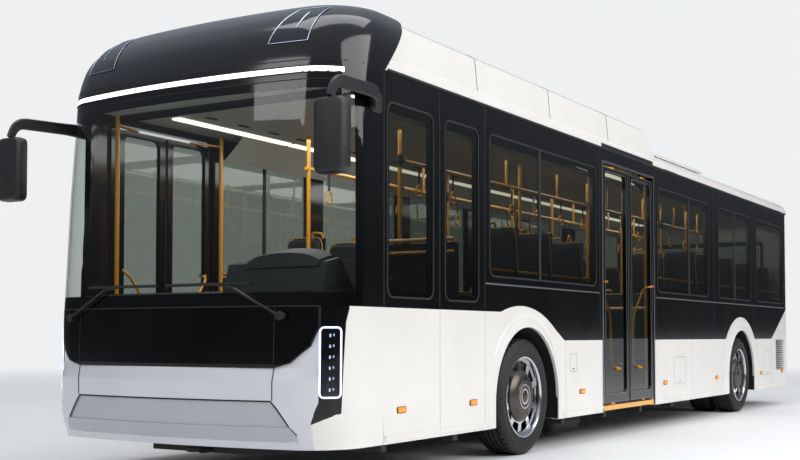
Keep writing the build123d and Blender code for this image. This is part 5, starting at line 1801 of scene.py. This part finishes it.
# %% Underside
tanks, springs, lines = bmesh.new(), bmesh.new(), bmesh.new()
tank_rings = (
    # radius, distance from the front end
    (0.0, 0.0), (0.05, 0.006), (0.085, 0.03), (0.098, 0.07),
    (0.098, 0.63), (0.085, 0.67), (0.05, 0.694), (0.0, 0.70),
)
for x, y in ((-1.15, -0.75), (-4.3, 0.80), (-4.3, -0.80), (-5.6, -0.72)):
    absorb(tanks, stacked(tank_rings, 20, lambda a, b, along: at(x - along, y + a, 0.150 + b)))
for axle, z0, z1 in ((front_axle, 0.16, 0.255), (rear_axle, 0.36, 0.64)):
    folds = 8
    rings = [
        (0.105 + 0.014 * math.sin(math.pi * number / folds * 3) ** 2, z0 + (z1 - z0) * number / folds)
        for number in range(folds + 1)
    ]
    for y in (0.46, -0.46):
        for x in (axle + 0.36, axle - 0.36):
            absorb(springs, stacked(rings, 24, lambda a, b, z: at(x + a, y + b, z)))
for side in (1, -1):
    for number, z in enumerate((0.200, 0.222, 0.244)):
        y = side * (0.405 - 0.02 * number)
        for x0, x1 in ((-0.8, -2.55), (-3.35, -7.1)):
            absorb(lines, tube([at(x0, y, z), at(x1, y, z)], 0.007, 6))
add_piece("air_tanks", tanks, wax_coat)
add_piece("air_springs", springs, joint_rubber)
add_piece("brake_and_cable_lines", lines, black_abs)

# %% [markdown]
# The stage is a pale floor with soft studio light. The world lights the bus evenly from all round,
# as a white tent would. What the gloss mirrors is a dim studio with a bright ceiling, so that black
# lacquer stays black on upright panels and catches light where it turns up to the sky. Away from
# the bus the floor fades into the backdrop, so no horizon line shows.

# %% Floor, world and lights
backdrop_colour = "#EEF0F2"
shape = bmesh.new()
bmesh.ops.create_grid(shape, x_segments=1, y_segments=1, size=400)
studio_floor = new_object("studio_floor", shape)
floor_material, tree = new_material("studio_floor")


def seen_by_camera(tree):
    # Rays from the camera, through glass or not
    rays = add_node(tree, "ShaderNodeLightPath")
    return maths(tree, "MAXIMUM", rays.outputs["Is Camera Ray"], rays.outputs["Is Transmission Ray"])


near_floor = add_node(tree, "ShaderNodeBsdfPrincipled", Base_Color=linear("#E9EAEB"), Roughness=0.7)
far_floor = add_node(tree, "ShaderNodeEmission", Color=linear(backdrop_colour), Strength=1.0)
reach = add_node(tree, "ShaderNodeVectorMath", {"operation": "LENGTH"}, i0=real_place(tree))
# The fade starts 9 m from the middle of the bus and is complete at 26 m
fade = ranged(tree, reach.outputs["Value"], 9.0, 26.0, 0.0, 1.0)
blend = maths(tree, "MULTIPLY", fade, seen_by_camera(tree))
set_surface(tree, mixed(tree, blend, near_floor.outputs["BSDF"], far_floor.outputs["Emission"]))
studio_floor.data.materials.append(floor_material)

world = bpy.data.worlds.new("studio")
scene.world = world
world.use_nodes = True
tree = world.node_tree
tree.nodes.clear()


def background(colour, strength):
    light = add_node(tree, "ShaderNodeBackground", Color=linear(colour), Strength=strength)
    return light.outputs["Background"]


generated = add_node(tree, "ShaderNodeTexCoord").outputs["Generated"]
height = add_node(tree, "ShaderNodeSeparateXYZ", Vector=generated).outputs["Z"]
mirrored_room = background("#DCE6F4", ranged(tree, height, 0.05, 0.85, 0.05, 0.9))
glossy = add_node(tree, "ShaderNodeLightPath").outputs["Is Glossy Ray"]
unseen = mixed(tree, glossy, background("#F1F3F8", 0.62), mirrored_room)
whole = mixed(tree, seen_by_camera(tree), unseen, background(backdrop_colour, 1.0))
set_surface(tree, whole, "ShaderNodeOutputWorld")


def soft_light(name, place, target, size, power):
    light = area_light(name, place, size, power)
    light.rotation_euler = (Vector(target) - Vector(place)).to_track_quat("-Z", "Y").to_euler()


soft_light("side_panel", (1, 13, 9), (0, 1, 1.2), (16, 8), 1500)
soft_light("sky_panel", (2, 1, 15), (1, 0, 2), (16, 6), 900)
soft_light("front_panel", (17, -2, 9), (6, 0, 1.5), (7, 5), 420)

# %% [markdown]
# The camera stands where the photograph was taken from: low, ahead of the bus and to its left. A
# small upward shift of the lens keeps the uprights parallel.

# %% Camera
camera_data = bpy.data.cameras.new("camera")
camera_data.sensor_width = 36
camera_data.lens = 52.88
# The lens is shifted by 62.8 of the photograph's 800 pixels
camera_data.shift_y = 62.8 / 800
camera_data.clip_end = 500
camera = bpy.data.objects.new("camera", camera_data)
scene.collection.objects.link(camera)
yaw, pitch = math.radians(31.437), math.radians(2.101)
look = Vector((-math.cos(yaw) * math.cos(pitch), -math.sin(yaw) * math.cos(pitch), math.sin(pitch)))
camera.location = (11.811, 5.460, 0.982)
camera.rotation_euler = look.to_track_quat("-Z", "Y").to_euler()
scene.camera = camera
scene.view_settings.view_transform = "Standard"
